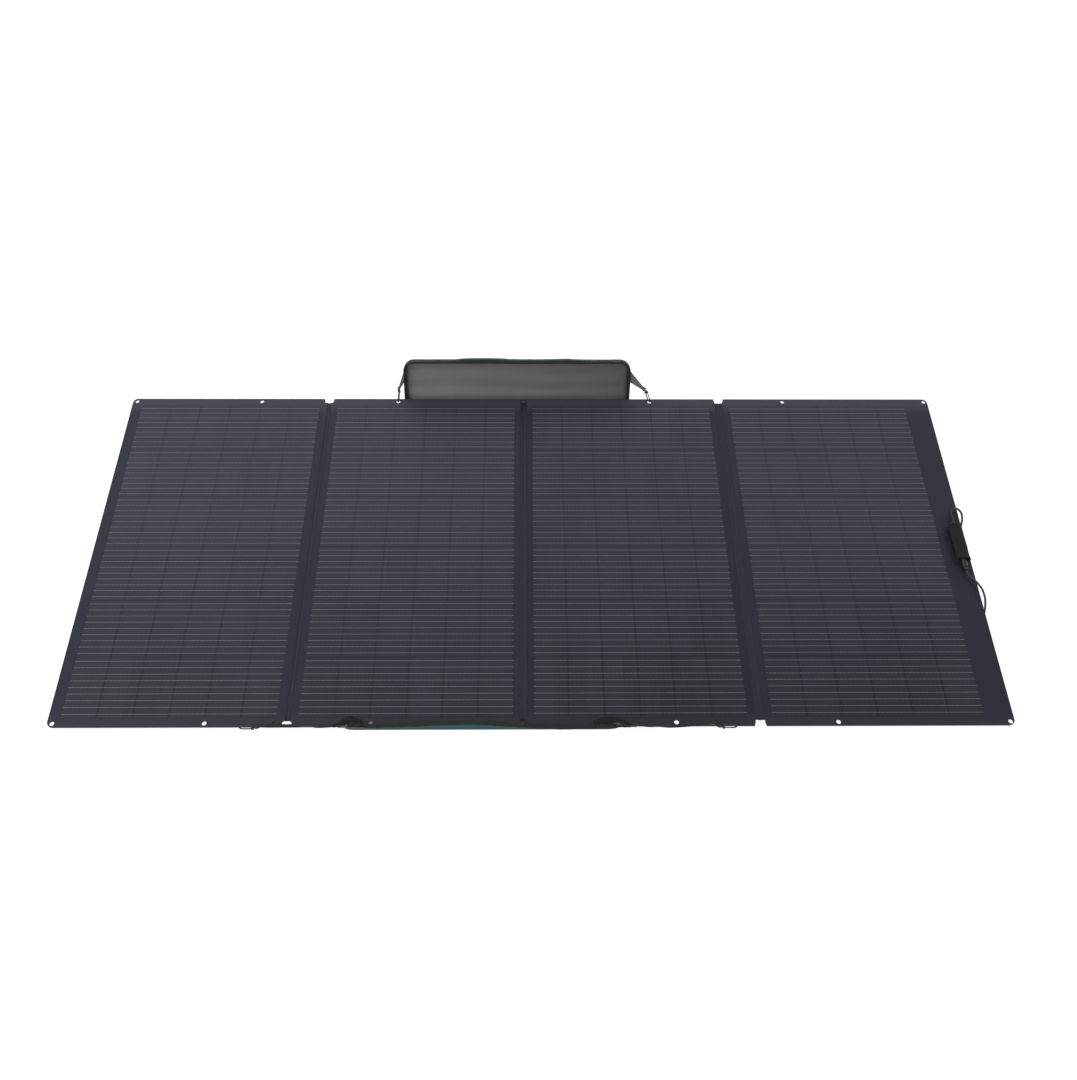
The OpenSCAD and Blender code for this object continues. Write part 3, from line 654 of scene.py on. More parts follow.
finishes = {
    "laminate": laminate_material(), "cell": cell_material(), "ribbon": ribbon_material(),
    "back_cloth": back_material(), "seam_cloth": seam_cloth, "lead_jacket": jacket,
    "wrap_cloth": wrap_cloth, "shell_cloth": teal, "gusset_cloth": teal_soft, "lining_cloth": lining,
    "zip_tape": zip_cloth, "handle_webbing": webbing, "ear_cloth": ear_cloth, "strap_webbing": strap_cloth,
    "stiffener": moulded("stiffener_foam", (0.09, 0.09, 0.09), 0.8, 0.0015, 0.0004),
    "box_plastic": moulded("box_moulded_black", (0.014, 0.014, 0.015), 0.48),
    "plug_plastic": moulded("plug_moulded_black", (0.013, 0.013, 0.014), 0.4, 0.0004),
    "diode": moulded("diode_epoxy", (0.02, 0.02, 0.021), 0.55, 0.0003),
    "screw_steel": metal("screw_zinc", (0.45, 0.45, 0.47), 0.3, (0.3, 0.3, 0.31), brushed=(1, 6, 1)),
    "contact_metal": metal("contact_tinned", (0.62, 0.56, 0.42), 0.28, (0.5, 0.45, 0.35)),
    "hook_metal": metal("hook_black_coat", (0.006, 0.006, 0.0065), 0.6, (0.014, 0.014, 0.015), 0.0),
    "gate_steel": metal("gate_dark_wire", (0.012, 0.012, 0.013), 0.5, (0.03, 0.03, 0.032), 0.15, (1, 5, 5)),
    "slider_metal": metal("slider_enamel", (0.025, 0.025, 0.026), 0.3, (0.14, 0.13, 0.12), 0.6)}
for subpart in frame["record"]["subparts"]:
    slots = nodes[subpart["node"]].data.materials
    slots.clear()
    slots.append(finishes[subpart["material_slot"]])


# ---------- output leads ----------

def lead(name, route):
    """A free lead from its gland, round the edge of the array, to its connector."""
    points = smooth_path(on_array(*(np.array(route) / 1000).T))
    curve = bpy.data.curves.new(name, "CURVE")
    curve.dimensions = "3D"
    curve.bevel_depth = LEAD_D / 2
    curve.bevel_resolution = 5
    curve.use_fill_caps = True
    spline = curve.splines.new("POLY")
    spline.points.add(len(points) - 1)
    for target, p in zip(spline.points, points):
        target.co = (*p, 1)
    spline.use_smooth = True
    curve.materials.append(jacket)
    obj = bpy.data.objects.new(name, curve)
    bpy.context.collection.objects.link(obj)
    finish_piece(obj, "panel_4", "lead_jacket", name)


lead("lead_positive", LEAD_POSITIVE)
lead("lead_negative", LEAD_NEGATIVE)


# ---------- seams of the array ----------

def seam_cloth_piece(name, x, width, along, inner=None, side=0):
    """Part of the cloth that hinges two panels.

    On one side of a hole, side is -1 or 1 and inner is the hole's half width at each place along.
    """
    across = np.array([-0.5, -0.42, -0.3, -0.16, -0.06, 0, 0.06, 0.16, 0.3, 0.42, 0.5]) * (width - 0.0006)
    u, v = np.meshgrid(across, along, indexing="ij")
    if side:
        outer = width / 2 - 0.0003
        share = np.linspace(0, 1, len(across))[:, None]
        u = side * (inner + (outer - inner) * share)[::side]
    sag = 0.0009 * np.cos(np.clip(u / width, -0.5, 0.5) * math.pi) ** 2
    crease = 0.0006 * np.exp(-(u / 0.0012) ** 2)
    z = FACE - sag - crease + 0.0004 * lumpy(stacked(u * 2, v, 0), 40, 3.0)
    obj = sheet(name, on_array(x + u, v, z - 0.0004), on_array(x + u, v, z - 0.0018), seam_cloth,
                np.stack([u, v], -1))
    tuple(on_array(x - width / 2, PANEL_LEN / 2, FACE))
    tuple(on_array(x + width / 2, PANEL_LEN / 2, FACE))
    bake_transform(obj)
    return obj


def notched_seam(name, x, width, *bodies):
    """A seam whose cloth stops at the notches in the array's edges."""
    along = np.linspace(NOTCH + 0.0006, PANEL_LEN - NOTCH - 0.0006, 170)
    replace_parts(seam_cloth_piece(name + "_cloth", x, width, along), name)


def holed_seam(name, x, width, *bodies):
    """A seam with a tie-down hole through its cloth at each end."""
    low, high = EYELET_INSET - SEAM_HOLE_R, EYELET_INSET + SEAM_HOLE_R
    middle = np.linspace(high, PANEL_LEN - high, 165)
    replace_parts(seam_cloth_piece(name + "_cloth", x, width, middle), name)
    turn = np.linspace(-math.pi / 2, math.pi / 2, 17)
    for end in ("foot", "top"):
        by_hole = EYELET_INSET + SEAM_HOLE_R * np.sin(turn)
        inner = SEAM_HOLE_R * np.cos(turn)
        tip = np.linspace(0.0006, low, 4)
        if end == "top":
            by_hole, inner, tip = PANEL_LEN - by_hole[::-1], inner[::-1], PANEL_LEN - tip[::-1]
        seam_cloth_piece(f"{name}_{end}_tip", x, width, tip)
        seam_cloth_piece(f"{name}_{end}_left", x, width, by_hole, inner, -1)
        seam_cloth_piece(f"{name}_{end}_right", x, width, by_hole, inner, 1)


notched_seam("seam_12", SEAM_12, 0.014, "panel_1", "panel_2")
holed_seam("seam_23", SEAM_23, 0.020, "panel_2", "panel_3")
notched_seam("seam_34", SEAM_34, 0.024, "panel_3", "panel_4")


# ---------- carry case ----------

def leaf_path(step=0.006):
    """A leaf's outline from its fold, round its free corners, to its fold: places and outward normals."""
    inner, start = CASE_W / 2 - CORNER_R, LEAF_LEN - CORNER_R
    side = np.arange(FOLD_GAP, start, step)
    turn = np.linspace(0, math.pi / 2, 9)
    front = np.arange(-inner + step, inner, step)
    nx, nv = np.r_[1 + 0 * side, np.cos(turn)], np.r_[0 * side, np.sin(turn)]
    x, v = inner + CORNER_R * nx, np.r_[side, start + CORNER_R * np.sin(turn)]
    return (np.r_[-x, front, x[::-1]], np.r_[v, LEAF_LEN + 0 * front, v[::-1]],
            np.r_[-nx, 0 * front, nx[::-1]], np.r_[nv, 1 + 0 * front, nv[::-1]])


def side_wall(name, place, path, height, bulge, crumple, material, start=0.0, proud=0.0, thick=0.0018):
    """Cloth wall along a leaf's outline, with its own height, bulge and crumples at each place.

    start leaves out that part of its height, and proud moves it outwards.
    """
    x, v, nx, nv = path
    up = np.array([0, 0.08, 0.2, 0.35, 0.5, 0.65, 0.8, 0.92, 1.0])
    where = stacked(x, v, 0)
    wrinkle = lumpy(where, 28, 1.0) * 0.6 + lumpy(where, 75, 2.0) * 0.4
    rings = []
    for inwards, shares in ((0, up), (thick, up[::-1])):
        for share in shares:
            f = start + share * (1 - start)
            z = WALL_FOOT + f * (height - WALL_FOOT)
            fine = lumpy(stacked(x, v, z * 3), 60, 5.0)
            out = proud + bulge * np.sin(math.pi * np.minimum(1, f * 0.95 + 0.02)) ** 0.8 - inwards
            out = out + crumple * (wrinkle * np.sin(math.pi * f) + 0.5 * fine * f * (1 - f) * 4)
            rings.append(place(x + nx * out, v + nv * out, z))
    return loft(name, np.swapaxes(np.array(rings), 0, 1), material)


def edge_tube(name, place, path, height, inset, radii, material, wave, seed):
    """A piping or zip that follows a leaf's outline at a height."""
    x, v, nx, nv = path
    where = stacked(x, v, 0)
    sway = wave * lumpy(where, 26, seed)
    rise = height + 0.5 * wave * lumpy(where, 34, seed + 4)
    rings = []
    for a in circle(8):
        out = -inset + sway + radii[0] * math.cos(a)
        rings.append(place(x + nx * out, v + nv * out, rise + radii[1] * math.sin(a)))
    return loft(name, np.swapaxes(np.array(rings), 0, 1), material)


def leaf_sheet(name, place, inset, z, thick, relief, material):
    """A cloth panel over a leaf's whole outline; relief gives its height at each place."""
    half, top, r = CASE_W / 2 - inset, LEAF_LEN - inset, CORNER_R - inset
    v = np.r_[np.linspace(FOLD_GAP, top - r, 106, endpoint=False),
              top - r + r * np.sin(np.linspace(0, math.pi / 2, 14))]
    drop = np.clip(v - (top - r), 0, r)
    width = half - r + np.sqrt(np.maximum(r * r - drop * drop, 1e-9))
    x = np.linspace(-1, 1, 70)[None, :] * width[:, None]
    v = np.repeat(v[:, None], 70, 1)
    z = z + relief(x, v)
    top, bottom = place(x, v, z + thick / 2), place(x, v, z - thick / 2)
    return sheet(name, top, bottom, material, np.stack([x, v], -1))


def edge_fade(x, v, reach):
    """0 at a leaf's sewn edges and 1 away from them."""
    side = np.clip((CASE_W / 2 - np.abs(x)) / reach, 0, 1)
    end = np.clip((LEAF_LEN - v) / reach, 0, 1)
    return side * end * np.clip(v / reach, 0, 1)


def outer_relief(x, v):
    place = stacked(x, v, 0)
    soft = lumpy(place, 5, 31.0) * 0.0016 + lumpy(place, 17, 31.0) * 0.0006
    return -0.0012 * edge_fade(x, v, 0.05) + soft * edge_fade(x, v, 0.04)


def raised_relief(x, v):
    """Shallow waves across the raised lining, and creases by its sewn edges."""
    drift = lumpy(stacked(x * 0.8, v * 0.6, 0), 5, 11.0)
    waves = 0.0022 * np.sin((v + 0.018 * drift) * 2 * math.pi / 0.047 + 1.2 * x)
    broad = 0.0030 * lumpy(stacked(x * 0.7, v * 1.6, 0), 9, 13.0)
    edge = 0.0008 * lumpy(stacked(x, v, 0), 45, 15.0)
    return (waves * (0.55 + 0.45 * drift) + broad + edge + 0.0012) * edge_fade(x, v, 0.035)


def ground_relief(x, v):
    calm = np.clip((LEAF_LEN - 0.05 - v) / 0.06, 0, 1)
    broad = 0.0016 * lumpy(stacked(x * 0.8, v, 0), 8, 23.0) + 0.0012
    return (broad + 0.0005 * lumpy(stacked(x, v, 0), 40, 25.0)) * edge_fade(x, v, 0.04) * calm


outline = leaf_path()
px, pv = outline[:2]
at_end = np.clip((pv - (LEAF_LEN - 0.03)) / 0.02, 0, 1)
arch = (0.75 * np.exp(-((px + 0.11) / 0.10) ** 2) + 0.55 * np.exp(-((px - 0.14) / 0.09) ** 2)
        + 0.30 * np.exp(-(px / 0.22) ** 2))

# Raised leaf, whose outer cloth bulges past its free edge in two low arches
finish_piece(leaf_sheet("raised_cover", on_raised, 0.0005, 0.0004, 0.0009, outer_relief, teal),
             "raised_leaf", "shell_cloth", "rear_shell")
finish_piece(leaf_sheet("raised_lining", on_raised, 0.0022, 0.0034, 0.0006, raised_relief, lining),
             "raised_leaf", "lining_cloth", "rear_lining")
bulge = 0.0002 + 0.0092 * at_end * arch
finish_piece(side_wall("raised_wall", on_raised, outline, WALL_H + 0.0006, bulge, 0.0016, teal_soft),
             "raised_leaf", "gusset_cloth", "rear_gusset")
tape_start = np.clip(0.04 + 0.80 * at_end * np.clip(arch * 2.2, 0, 1), 0.04, 0.84)
finish_piece(side_wall("raised_zip_tape", on_raised, outline, WALL_H + 0.0006, bulge, 0.0016, zip_cloth,
                       tape_start, 0.0008, 0.0006), "raised_leaf", "zip_tape")

# Each edging: name, height, inset, half thicknesses, cloth, sway, seed, slot and the node that it replaces
edgings = (
    ("zip", RIM_H - 0.0027, 0.0012, (0.0027, 0.0029), zip_cloth, 0.0010, 2.0, "zip_tape", ("rear_zip",)),
    ("zip_inner_tape", WALL_H - 0.0035, 0.0031, (0.0004, 0.0042), zip_cloth, 0.0007, 3.0, "zip_tape", ()),
    ("piping", 0.0014, -0.0004, (0.0015, 0.0015), teal, 0.0006, 6.0, "shell_cloth", ()),
    ("wall_piping", WALL_H - 0.0002, -0.0006, (0.0013, 0.0012), zip_cloth, 0.0008, 2.0, "zip_tape", ()))
for name, height, inset, radii, cloth, sway, seed, slot, replaced in edgings:
    finish_piece(edge_tube("raised_" + name, on_raised, outline, height, inset, radii, cloth, sway, seed),
                 "raised_leaf", slot, *replaced)

# Ground leaf: its walls stand at full height but where the array's foot presses them down
finish_piece(leaf_sheet("ground_cover", on_ground, 0.0005, 0.0005, 0.0009, lambda x, v: 0 * x, teal),
             "ground_leaf", "shell_cloth", "base_shell")
finish_piece(leaf_sheet("ground_lining", on_ground, 0.0022, 0.0034, 0.0006, ground_relief, lining),
             "ground_leaf", "lining_cloth", "base_lining")
foot_v = LEAF_LEN - FOOT_INSET
room = np.maximum(foot_v - pv - 0.004, 0) * math.tan(TILT)
under_array = np.clip(PRESSED_H + room, PRESSED_H, WALL_H)
for name, sign, replaced in (("left", -1, ("base_gusset",)), ("right", 1, ())):
    pick = (pv < foot_v - 0.001) & (sign * px > 0)
    stretch = tuple(a[pick] for a in outline)
    top = under_array[pick]
    zip_z = np.clip(top + 0.0012, 0.0038, RIM_H - 0.0016)
    finish_piece(side_wall("ground_wall_" + name, on_ground, stretch, top, 0.002,
                           0.0012 * np.clip(top / WALL_H, 0.1, 1), teal_soft),
                 "ground_leaf", "gusset_cloth", *replaced)
    finish_piece(edge_tube("ground_zip_" + name, on_ground, stretch, zip_z, 0.0016, (0.0017, 0.0018),
                           zip_cloth, 0.0006, 8.0), "ground_leaf", "zip_tape")
finish_piece(edge_tube("ground_piping", on_ground, outline, 0.0015, -0.0004, (0.0015, 0.0014), teal,
                       0.0, 6.0), "ground_leaf", "shell_cloth")


# ---------- front of the ground leaf ----------

def along_x(x, scale, seed):
    return lumpy(stacked(x, 0, 0), scale, seed)


def front_height(x):
    """Height of the slumped front wall along the array, highest left of its middle."""
    hump = np.exp(-((x + 0.108) / 0.15) ** 2)
    dip = np.exp(-((x - 0.207) / 0.05) ** 2)
    fall = np.clip((x + 0.08) / 0.07, 0, 1)
    return 0.0108 + 0.0077 * hump - 0.0005 * dip - 0.0042 * fall + 0.0012 * along_x(x, 22, 41.0)


x = np.arange(-0.365, 0.197, 0.004)
tall = front_height(x)
front_y = -FOLD_Y - 0.0005 - 0.0012 * along_x(x, 15, 43.0)
up = np.array([0.0, 0.1, 0.25, 0.45, 0.65, 0.85, 1.0])
rings = []
for behind, shares in ((0, up), (0.0022, up[::-1])):
    for f in shares:
        ripple = 0.0022 * f * lumpy(stacked(x, 0, tall * f * 4), 36, 45.0)
        y = front_y - 0.004 * math.sin(math.pi * f * 0.8) - 0.0012 * f + ripple + behind
        rings.append(stacked(x, y, WALL_FOOT + f * (tall - WALL_FOOT)))
front_wall = loft("front_wall", np.swapaxes(np.array(rings), 0, 1), front_teal)
rim = np.stack([x, front_y - 0.0038 + 0.0012 * along_x(x, 40, 47.0), tall - 0.0004], -1)
front_rim = tube("front_zip", rim, (0.0028, 0.0054), zip_cloth, 12, 1 + 0.25 * along_x(x, 60, 48.0))
for piece, slot, replaced in ((front_wall, "gusset_cloth", ()), (front_rim, "zip_tape", ("base_zip",))):
    finish_piece(piece, "ground_leaf", slot, *replaced)
    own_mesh(piece)


def inflate(obj, cap, pressure=4.0, frames=20):
    """Blows a closed piece of cloth up by simulation, no point further than the cap."""
    scene = bpy.context.scene
    cloth = obj.modifiers.new("cloth", "CLOTH")
    cloth.settings.use_pressure = True
    cloth.settings.uniform_pressure_force = pressure
    cloth.settings.effector_weights.gravity = 0
    cloth.point_cache.frame_start = 1
    cloth.point_cache.frame_end = frames
    for number in range(1, frames + 1):
        scene.frame_set(number)
    swollen = obj.evaluated_get(bpy.context.evaluated_depsgraph_get())
    before, after = (np.array([v.co for v in o.data.vertices]) for o in (obj, swollen))
    move = after - before
    size = np.linalg.norm(move, axis=1)[:, None]
    move *= np.minimum(1, cap / np.maximum(size, 1e-9))
    obj.modifiers.remove(cloth)
    obj.data.vertices.foreach_set("co", (before + move).ravel())
    obj.data.update()
    scene.frame_set(1)


def subdivided(obj):
    smoother = obj.modifiers.new("smooth", "SUBSURF")
    smoother.levels = 1
    smoother.render_levels = 1


def fold_roll(name, route, widths, heights, material, seed):
    """A crumpled roll of folded cloth along a line of points, blown up a little."""
    line = smooth_path(route, 8)
    at = np.linspace(0, 1, len(line))
    wide = np.interp(at, np.linspace(0, 1, len(widths)), widths)
    high = np.interp(at, np.linspace(0, 1, len(heights)), heights)
    side = np.array([0, 1.0, 0])
    angle = circle(14)
    rings = []
    for p, t, w, h in zip(line, tangents(line), wide, high):
        over = unit(np.cross(side, t))
        ring = p + np.outer(w * np.cos(angle), side) + np.outer(h * np.sin(angle), over)
        rough = lumpy(ring, 130, seed)[:, None] * np.array([0.25, 1, 0.6]) * 0.0028
        rings.append(ring + rough * min(1, h / 0.005))
    obj = loft(name, rings, material)
    inflate(obj, 0.0015)
    subdivided(obj)
    return obj


# Each roll: name, joint that presses it down, cloth, seed, half widths, half heights, route
rolls = (
    ("left_fold", "fold_12", brown, 51.0,
     (0.0035, 0.0055, 0.0060, 0.0050, 0.0035), (0.0035, 0.0065, 0.0075, 0.0060, 0.0030),
     ((-0.442, -0.5295, 0.008), (-0.424, -0.5295, 0.0175), (-0.402, -0.5290, 0.0270),
      (-0.385, -0.5290, 0.0220), (-0.366, -0.5295, 0.0140))),
    ("left_hem", "fold_12", beige, 53.0, (0.0026, 0.0036, 0.0036, 0.0026), (0.0018, 0.0022, 0.0020, 0.0016),
     ((-0.407, -0.5330, 0.0050), (-0.393, -0.5345, 0.0056), (-0.375, -0.5345, 0.0058),
      (-0.350, -0.5330, 0.0060))),
    ("left_tuck", "fold_12", zip_cloth, 55.0, (0.0034, 0.0045, 0.0032), (0.0036, 0.0050, 0.0036),
     ((-0.409, -0.5310, 0.0120), (-0.385, -0.5320, 0.0125), (-0.353, -0.5310, 0.0130))),
    ("right_fold", "fold_34", brown, 57.0,
     (0.0030, 0.0050, 0.0060, 0.0050, 0.0030), (0.0030, 0.0055, 0.0070, 0.0055, 0.0030),
     ((0.187, -0.5295, 0.0180), (0.211, -0.5290, 0.0235), (0.233, -0.5290, 0.0255),
      (0.259, -0.5295, 0.0190), (0.283, -0.5295, 0.0110))),
    ("right_tuck", "fold_34", zip_cloth, 59.0, (0.0032, 0.0050, 0.0034), (0.0040, 0.0062, 0.0040),
     ((0.183, -0.5310, 0.0090), (0.212, -0.5325, 0.0095), (0.245, -0.5310, 0.0090))),
    ("right_hem", "fold_34", brown, 61.0, (0.0028, 0.0036, 0.0028), (0.0022, 0.0030, 0.0022),
     ((0.239, -0.5320, 0.0065), (0.259, -0.5330, 0.0078), (0.281, -0.5315, 0.0065))))
for name, joint, cloth, seed, widths, heights, route in rolls:
    roll = fold_roll(name, route, widths, heights, cloth, seed)
    finish_piece(roll, "ground_leaf", "zip_tape")
    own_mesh(roll)


# ---------- spine and its two soft folds ----------

def spine_sheet(name, z, thick, material, seed):
    uv = grid(np.linspace(-CASE_W / 2 + 0.0005, CASE_W / 2 - 0.0005, 90),
              np.linspace(FOLD_GAP, SPINE_W - FOLD_GAP, 12))
    x, v = uv[..., 0], uv[..., 1]
    z = z + 0.0006 * lumpy(stacked(x, v, 0), 14, seed)
    return sheet(name, on_spine(x, v, z + thick / 2), on_spine(x, v, z - thick / 2), material, uv)


finish_piece(spine_sheet("spine_cover", 0.0004, 0.0009, teal, 33.0), "case_spine", "shell_cloth", "spine")
finish_piece(spine_sheet("spine_lining", 0.0033, 0.0007, lining, 35.0), "case_spine", "lining_cloth")


def fold_cloth(name, profile, start, end, material, seed):
    """Cloth round one of the case's folds, between the two parts that it joins."""
    profile = smooth_path([(0, p[1], p[2]) for p in profile], 4)
    tangent = tangents(profile)
    normal = np.stack([0 * tangent[:, 0], -tangent[:, 2], tangent[:, 1]], -1)
    across = np.linspace(-CASE_W / 2 + 0.0006, CASE_W / 2 - 0.0006, 80)
    base = profile[None] + np.array([1, 0, 0]) * across[:, None, None]
    base = base + 0.0005 * lumpy(base, 30, seed)[..., None] * normal[None]
    obj = strip(name, base, normal, 0.0008, material, grid(across, distances(profile)))
    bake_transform(obj)


for name, z, cloth, slot, dip in (("outer", 0.0011, teal, "shell_cloth", -0.0006),
                                  ("inner", 0.0034, lining, "lining_cloth", 0.0006)):
    sag = z + dip * 0.3
    low = [on_ground(0, 0.014, z), on_ground(0, 0.0045, z), on_ground(0, -0.0005, sag),
           on_spine(0, 0.0045, z), on_spine(0, 0.012, z)]
    high = [on_spine(0, SPINE_W - 0.012, z), on_spine(0, SPINE_W - 0.0045, z), on_raised(0, -0.0005, sag),
            on_raised(0, 0.0045, z), on_raised(0, 0.014, z)]
    fold_cloth("low_fold_" + name, low, on_ground(0, 0.004, z),
               on_spine(0, 0.004, z), cloth, 63.0)
    fold_cloth("high_fold_" + name, high, on_spine(0, SPINE_W - 0.004, z),
               on_raised(0, 0.004, z), cloth, 65.0)


# ---------- ears, handles and straps ----------

def cloth_tab(name, place, edge, tip, curl, seed):
    """A sewn triangular ear between an edge line and a tip line, with a little curl."""
    uv = grid(np.linspace(0, 1, 18), np.linspace(0, 1, 16))
    a, b = uv[..., :1], uv[..., 1:]
    (e0, e1), (t0, t1) = np.array(edge), np.array(tip)
    start, stop = e0 + (e1 - e0) * b, t0 + (t1 - t0) * b
    p = start + (stop - start) * a
    a, b = a[..., 0], b[..., 0]
    soft = curl * np.sin(math.pi * b) * np.sin(math.pi * a * 0.5) + 0.0007 * lumpy(p * [1, 1, 0], 60, seed)
    hem = 0.0004 * np.clip(1 - np.minimum(b, 1 - b) / 0.12, 0, 1)
    half = EAR_T / 2 + hem
    return sheet(name, place(p[..., 0], p[..., 1], p[..., 2] + soft + half),
                 place(p[..., 0], p[..., 1], p[..., 2] + soft - half), ear_cloth, p[..., :2])


def front_place(x, h, y):
    return stacked(x, EAR_Y - y, h)


for name, sign, tip in (("left", -1, 0.353), ("right", 1, 0.378)):
    edge = sign * (CASE_W / 2 - 0.001)
    tab = cloth_tab("raised_ear_" + name, on_raised, ((edge, 1.001, EAR_Z), (edge, 1.037, EAR_Z)),
                    ((sign * (tip - 0.001), 0.973, EAR_Z), (sign * tip, 0.982, EAR_Z)), 0.002, 71.0)
    finish_piece(tab, "raised_leaf", "ear_cloth", *(("ear_tabs",) if sign < 0 else ()))
    loop = on_raised(sign * (tip + np.array([-0.004, 0.0005, 0.002, 0.0005, -0.004])),
                     np.array([0.9845, 0.9830, 0.9780, 0.9730, 0.9715]), EAR_Z)
    finish_piece(tube("ear_loop_" + name, smooth_path(loop, 5), (0.0018, 0.0012), webbing),
                 "raised_leaf", "ear_cloth")

for name, centre, reach in (("left", -0.395, 0.037), ("right", 0.254, 0.042)):
    tab = cloth_tab("front_ear_" + name, front_place,
                    ((centre - reach, 0.0042, 0), (centre + reach, 0.0042, 0)),
                    ((centre - 0.005, 0.0165, 0), (centre + 0.005, 0.0165, 0)), 0.0006, 73.0)
    finish_piece(tab, "ground_leaf", "ear_cloth", *(("front_ears",) if centre < 0 else ()))


def handle(name, place, node):
    """Webbing bands that run round a padded grip; place takes the handle's own coordinates."""
    grip = smooth_path([(0.026, y, 0.001) for y in np.linspace(-0.0645, 0.0645, 9)], 5)
    girth = 0.0050 * (1 - 0.25 * np.abs(np.linspace(-1, 1, len(grip))) ** 6)
    angle = circle(18)
    rings = [place(p[0] + g * np.cos(angle), 0 * angle + p[1], p[2] + g * np.sin(angle))
             for p, g in zip(grip, girth)]
    pad = loft(name + "_grip", rings, grip_cloth)
    inflate(pad, 0.0011)
    subdivided(pad)
    finish_piece(pad, name, "handle_webbing")
    route = smooth_path([(x, 0, z) for x, z in (
        (-0.001, 0.0010), (0.006, 0.0016), (0.014, 0.0014), (0.0185, 0.0030), (0.0215, 0.0058),
        (0.026, 0.0072), (0.0308, 0.0052), (0.0326, 0.001), (0.0306, -0.0034), (0.026, -0.0053),
        (0.0212, -0.0038), (0.0180, -0.0006))], 5)
    b = np.linspace(-0.0095, 0.0095, 9)
    for end, y, replaced in (("low", -0.065, (node,)), ("high", 0.065, ())):
        base = route[:, None] + np.array([0, 1, 0]) * (y + b)[None, :, None]
        band = strip(f"{name}_band_{end}", base, side_normals(route)[:, None], 0.0016, webbing,
                     grid(distances(route), b + 0.01), place)
        finish_piece(band, name, "handle_webbing", *replaced)


def ground_handle_place(x, y, z):
    slant = -math.atan(SKEW / LEAF_LEN)
    c, s = math.cos(slant), math.sin(slant)
    return stacked(CASE_W / 2 - SKEW / 2 + 0.0014 + x * c - y * s, x * s + y * c, 0.0054 + z)


def raised_handle_place(x, y, z):
    return on_raised(CASE_W / 2 + 0.008 - z, LEAF_LEN / 2 + y, 0.004 + x)


handle("ground_handle", ground_handle_place, "base_handle")
handle("raised_handle", raised_handle_place, "rear_handle")


def ground_strap(name, points, half_width, phase):
    """Narrow webbing that leans on the array's foot, twisting as it goes."""
    line = smooth_path(points, 9)
    at = np.linspace(0, 1, len(line))
    lean = 0.9 + 0.5 * np.sin(at * 9 + phase) + 0.3 * np.sin(at * 23 + phase)
    taper = 1 - 0.25 * np.exp(-(at / 0.04) ** 2)
    b = np.linspace(-1, 1, 7) * half_width
    offset = unit(np.stack([0 * lean, -0.5 * np.cos(lean), np.abs(np.sin(lean)) * 0.9 + 0.1], -1))
    normal = unit(np.cross(np.gradient(line, axis=0), offset))[:, None]
    base = line[:, None] + offset[:, None] * (b[None, :] * taper[:, None])[..., None]
    return strip(name, base, normal, 0.0014, strap_cloth, grid(distances(line), b + half_width))


def knot(name, centre, size, seed):
    """A small overhand knot in the webbing."""
    t = np.linspace(0, 2 * math.pi, 60)
    x = np.sin(t) + 2 * np.sin(2 * t)
    y = np.cos(t) - 2 * np.cos(2 * t)
    z = -np.sin(3 * t)
    points = np.stack([x * 0.36 * size, z * 0.30 * size, y * 0.30 * size], -1) + np.array(centre)
    return tube(name, points, (0.0016, 0.0011), strap_cloth, 8, 1 + 0.15 * lumpy(points, 400, seed))


# Each strap: side, route along the foot (x, how far before the strap's own line, height), half width,
# phase, knot's centre, size and seed, and the place of the hook's eye
straps = (
    ("left", -1, ((-0.417, 0.0015, 0.0150), (-0.439, 0, 0.0110), (-0.463, 0.001, 0.0095),
                  (-0.493, 0.002, 0.0085), (-0.529, 0.001, 0.0098), (-0.559, 0.002, 0.0102),
                  (-0.587, 0.003, 0.0105), (-0.617, 0.006, 0.0110)), 0.0044, 0.4,
     (-0.585, 0.003, 0.0165), 0.0062, 1.0, -0.6276),
    ("right", 1, ((0.275, 0.002, 0.0130), (0.297, 0.002, 0.0110), (0.325, 0.003, 0.0085),
                  (0.359, 0.003, 0.0068), (0.399, 0.002, 0.0080), (0.437, 0.002, 0.0110),
                  (0.465, 0.003, 0.0135), (0.489, 0.006, 0.0115)), 0.0040, 1.7,
     (0.491, 0.004, 0.0160), 0.0075, 2.0, 0.4976))
for name, sign, route, half_width, phase, centre, size, seed, eye in straps:
    route = [(x, STRAP_Y - before, z) for x, before, z in route]
    strap = ground_strap(f"bottom_strap_{name}_webbing", route, half_width, phase)
    finish_piece(strap, "ground_leaf", "strap_webbing", "bottom_strap_" + name)
    centre = (centre[0], STRAP_Y - centre[1], centre[2])
    finish_piece(knot("strap_knot_" + name, centre, size, seed), "ground_leaf", "strap_webbing")
    x, y, z = route[-1]
    ring = smooth_path([
        (x - sign * 0.003, y, z), (x + sign * 0.004, y - 0.0045, z + 0.002),
        (eye - sign * 0.001, -0.5385, 0.0095), (eye, -0.5330, 0.0065),
        (eye - sign * 0.003, -0.5290, 0.0060), (x - sign * 0.002, y + 0.002, z - 0.002)], 6)
    finish_piece(tube("strap_end_loop_" + name, ring, (0.0024, 0.0012), strap_cloth, 8),
                 "ground_leaf", "strap_webbing")


# ---------- cable wrap ----------

def wrap_shell(name, profile, low, high, seed):
    """Loop cloth bent along a profile in the array's own frame, from low to high up its slope."""
    line = smooth_path([(x, 0, z) for x, z in profile], 6)
    normal = side_normals(line)[:, None]
    y = np.linspace(low, high, 40)
    base = line[:, None] + np.array([0, 1, 0]) * y[None, :, None]
    pressed = np.exp(-((y - low) / 0.006) ** 2) + np.exp(-((y - high) / 0.006) ** 2)
    base = base + (0.0008 * lumpy(base, 45, seed) - 0.0010 * pressed)[..., None] * normal
    return strip(name, base, normal, 0.0012, wrap_cloth, grid(distances(line), y), on_array)


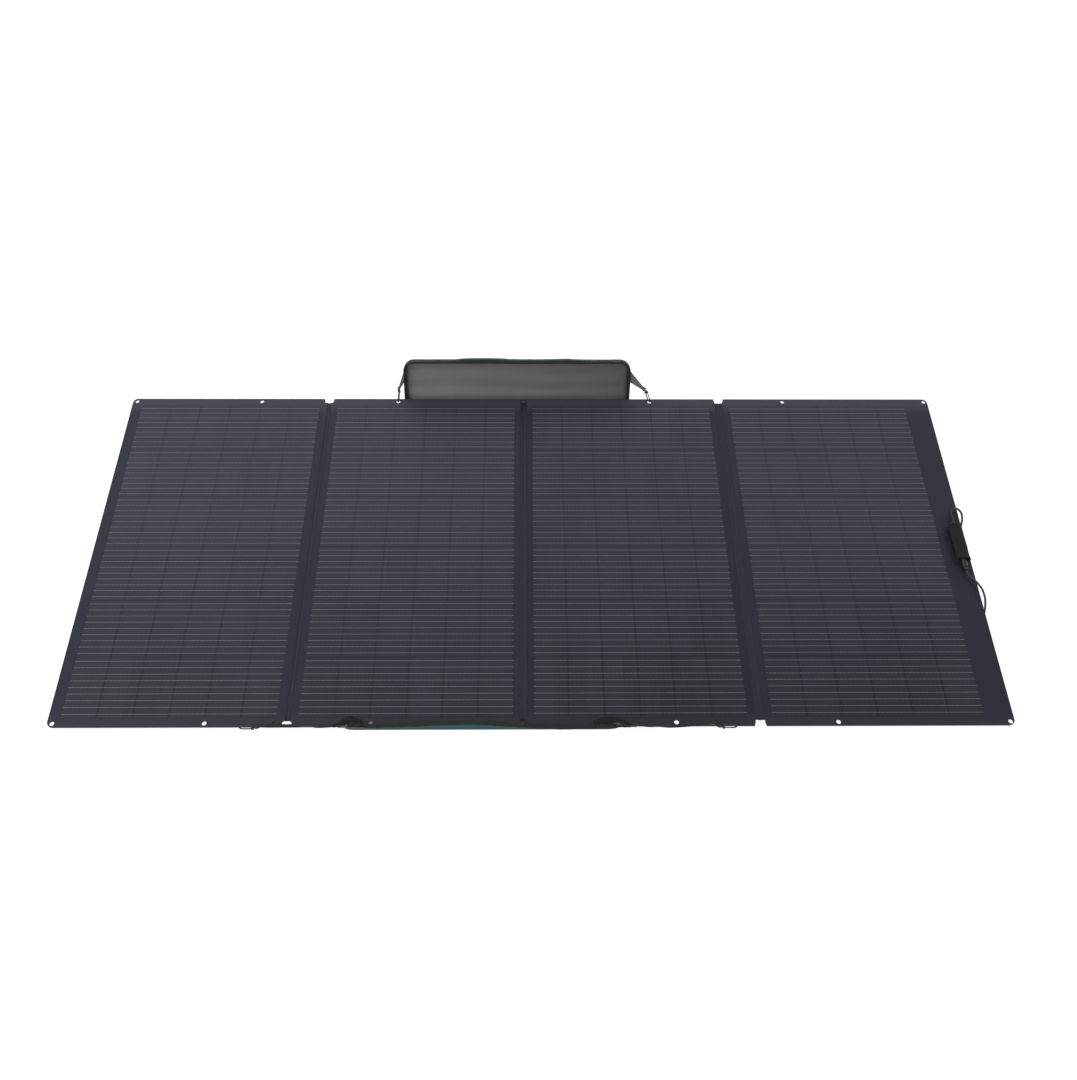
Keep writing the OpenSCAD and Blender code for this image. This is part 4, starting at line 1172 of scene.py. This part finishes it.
base_profile = [(2.3202, FACE + 0.0009), (2.332, FACE + 0.0007), (2.346, FACE + 0.0007),
                (2.3596, FACE + 0.0009)]
flap_profile = [(2.3602, FACE + 0.0012), (2.3612, 0.0080), (2.3596, 0.0146), (2.3545, 0.0186),
                (2.3470, 0.0202), (2.3380, 0.0200), (2.3300, 0.0192), (2.3225, 0.0180)]
finish_piece(wrap_shell("wrap_base_cloth", base_profile, 0.478, 0.592, 91.0),
             "panel_4", "wrap_cloth", "cable_wrap_base")
finish_piece(wrap_shell("wrap_flap_cloth", flap_profile, 0.4785, 0.5915, 93.0),
             "wrap_flap", "wrap_cloth", "cable_wrap_flap")


# ---------- studio ----------

bpy.context.scene.view_settings.view_transform = "Standard"

world = bpy.data.worlds.new("studio")
bpy.context.scene.world = world
world.use_nodes = True
sky = Tree(world.node_tree)
x, y, _ = sky.split(sky.node("TexCoord", {}, "Generated"))
front = sky.levels(y, 0.0, -0.65, 1.1, 0.37, interpolation_type="SMOOTHSTEP")
side = sky.levels(x, -0.5, 0.4, 1.0, 0.86)
background = world.node_tree.nodes["Background"].inputs
sky.put(background["Color"], (1, 1, 1))
sky.put(background["Strength"], sky.math("MULTIPLY", sky.math("MULTIPLY", front, side), 1.1))

paper = Shader("studio_floor", Specular_IOR_Level=0.0, Emission_Color=(1, 1, 1), Emission_Strength=0.86)
tone = paper.mix(paper.noise(paper.place, 3, 2), (0.31, 0.31, 0.31), (0.33, 0.33, 0.33))
corners = [(x * FLOOR_HALF, y * FLOOR_HALF, FLOOR_Z) for x, y in ((-1, -1), (1, -1), (1, 1), (-1, 1))]
make_mesh("studio_floor", corners, [(0, 1, 2, 3)], paper.done(tone, 1.0))

softbox = bpy.data.lights.new("softbox", "AREA")
softbox.energy = 90
softbox.shape = "RECTANGLE"
softbox.size = 2.4
softbox.size_y = 1.6
key = bpy.data.objects.new("softbox", softbox)
key.location = (-2.6, -4.2, 1.9)
key.rotation_euler = (Vector((-0.1, 0.2, 0.4)) - key.location).to_track_quat("-Z", "Y").to_euler()
bpy.context.collection.objects.link(key)
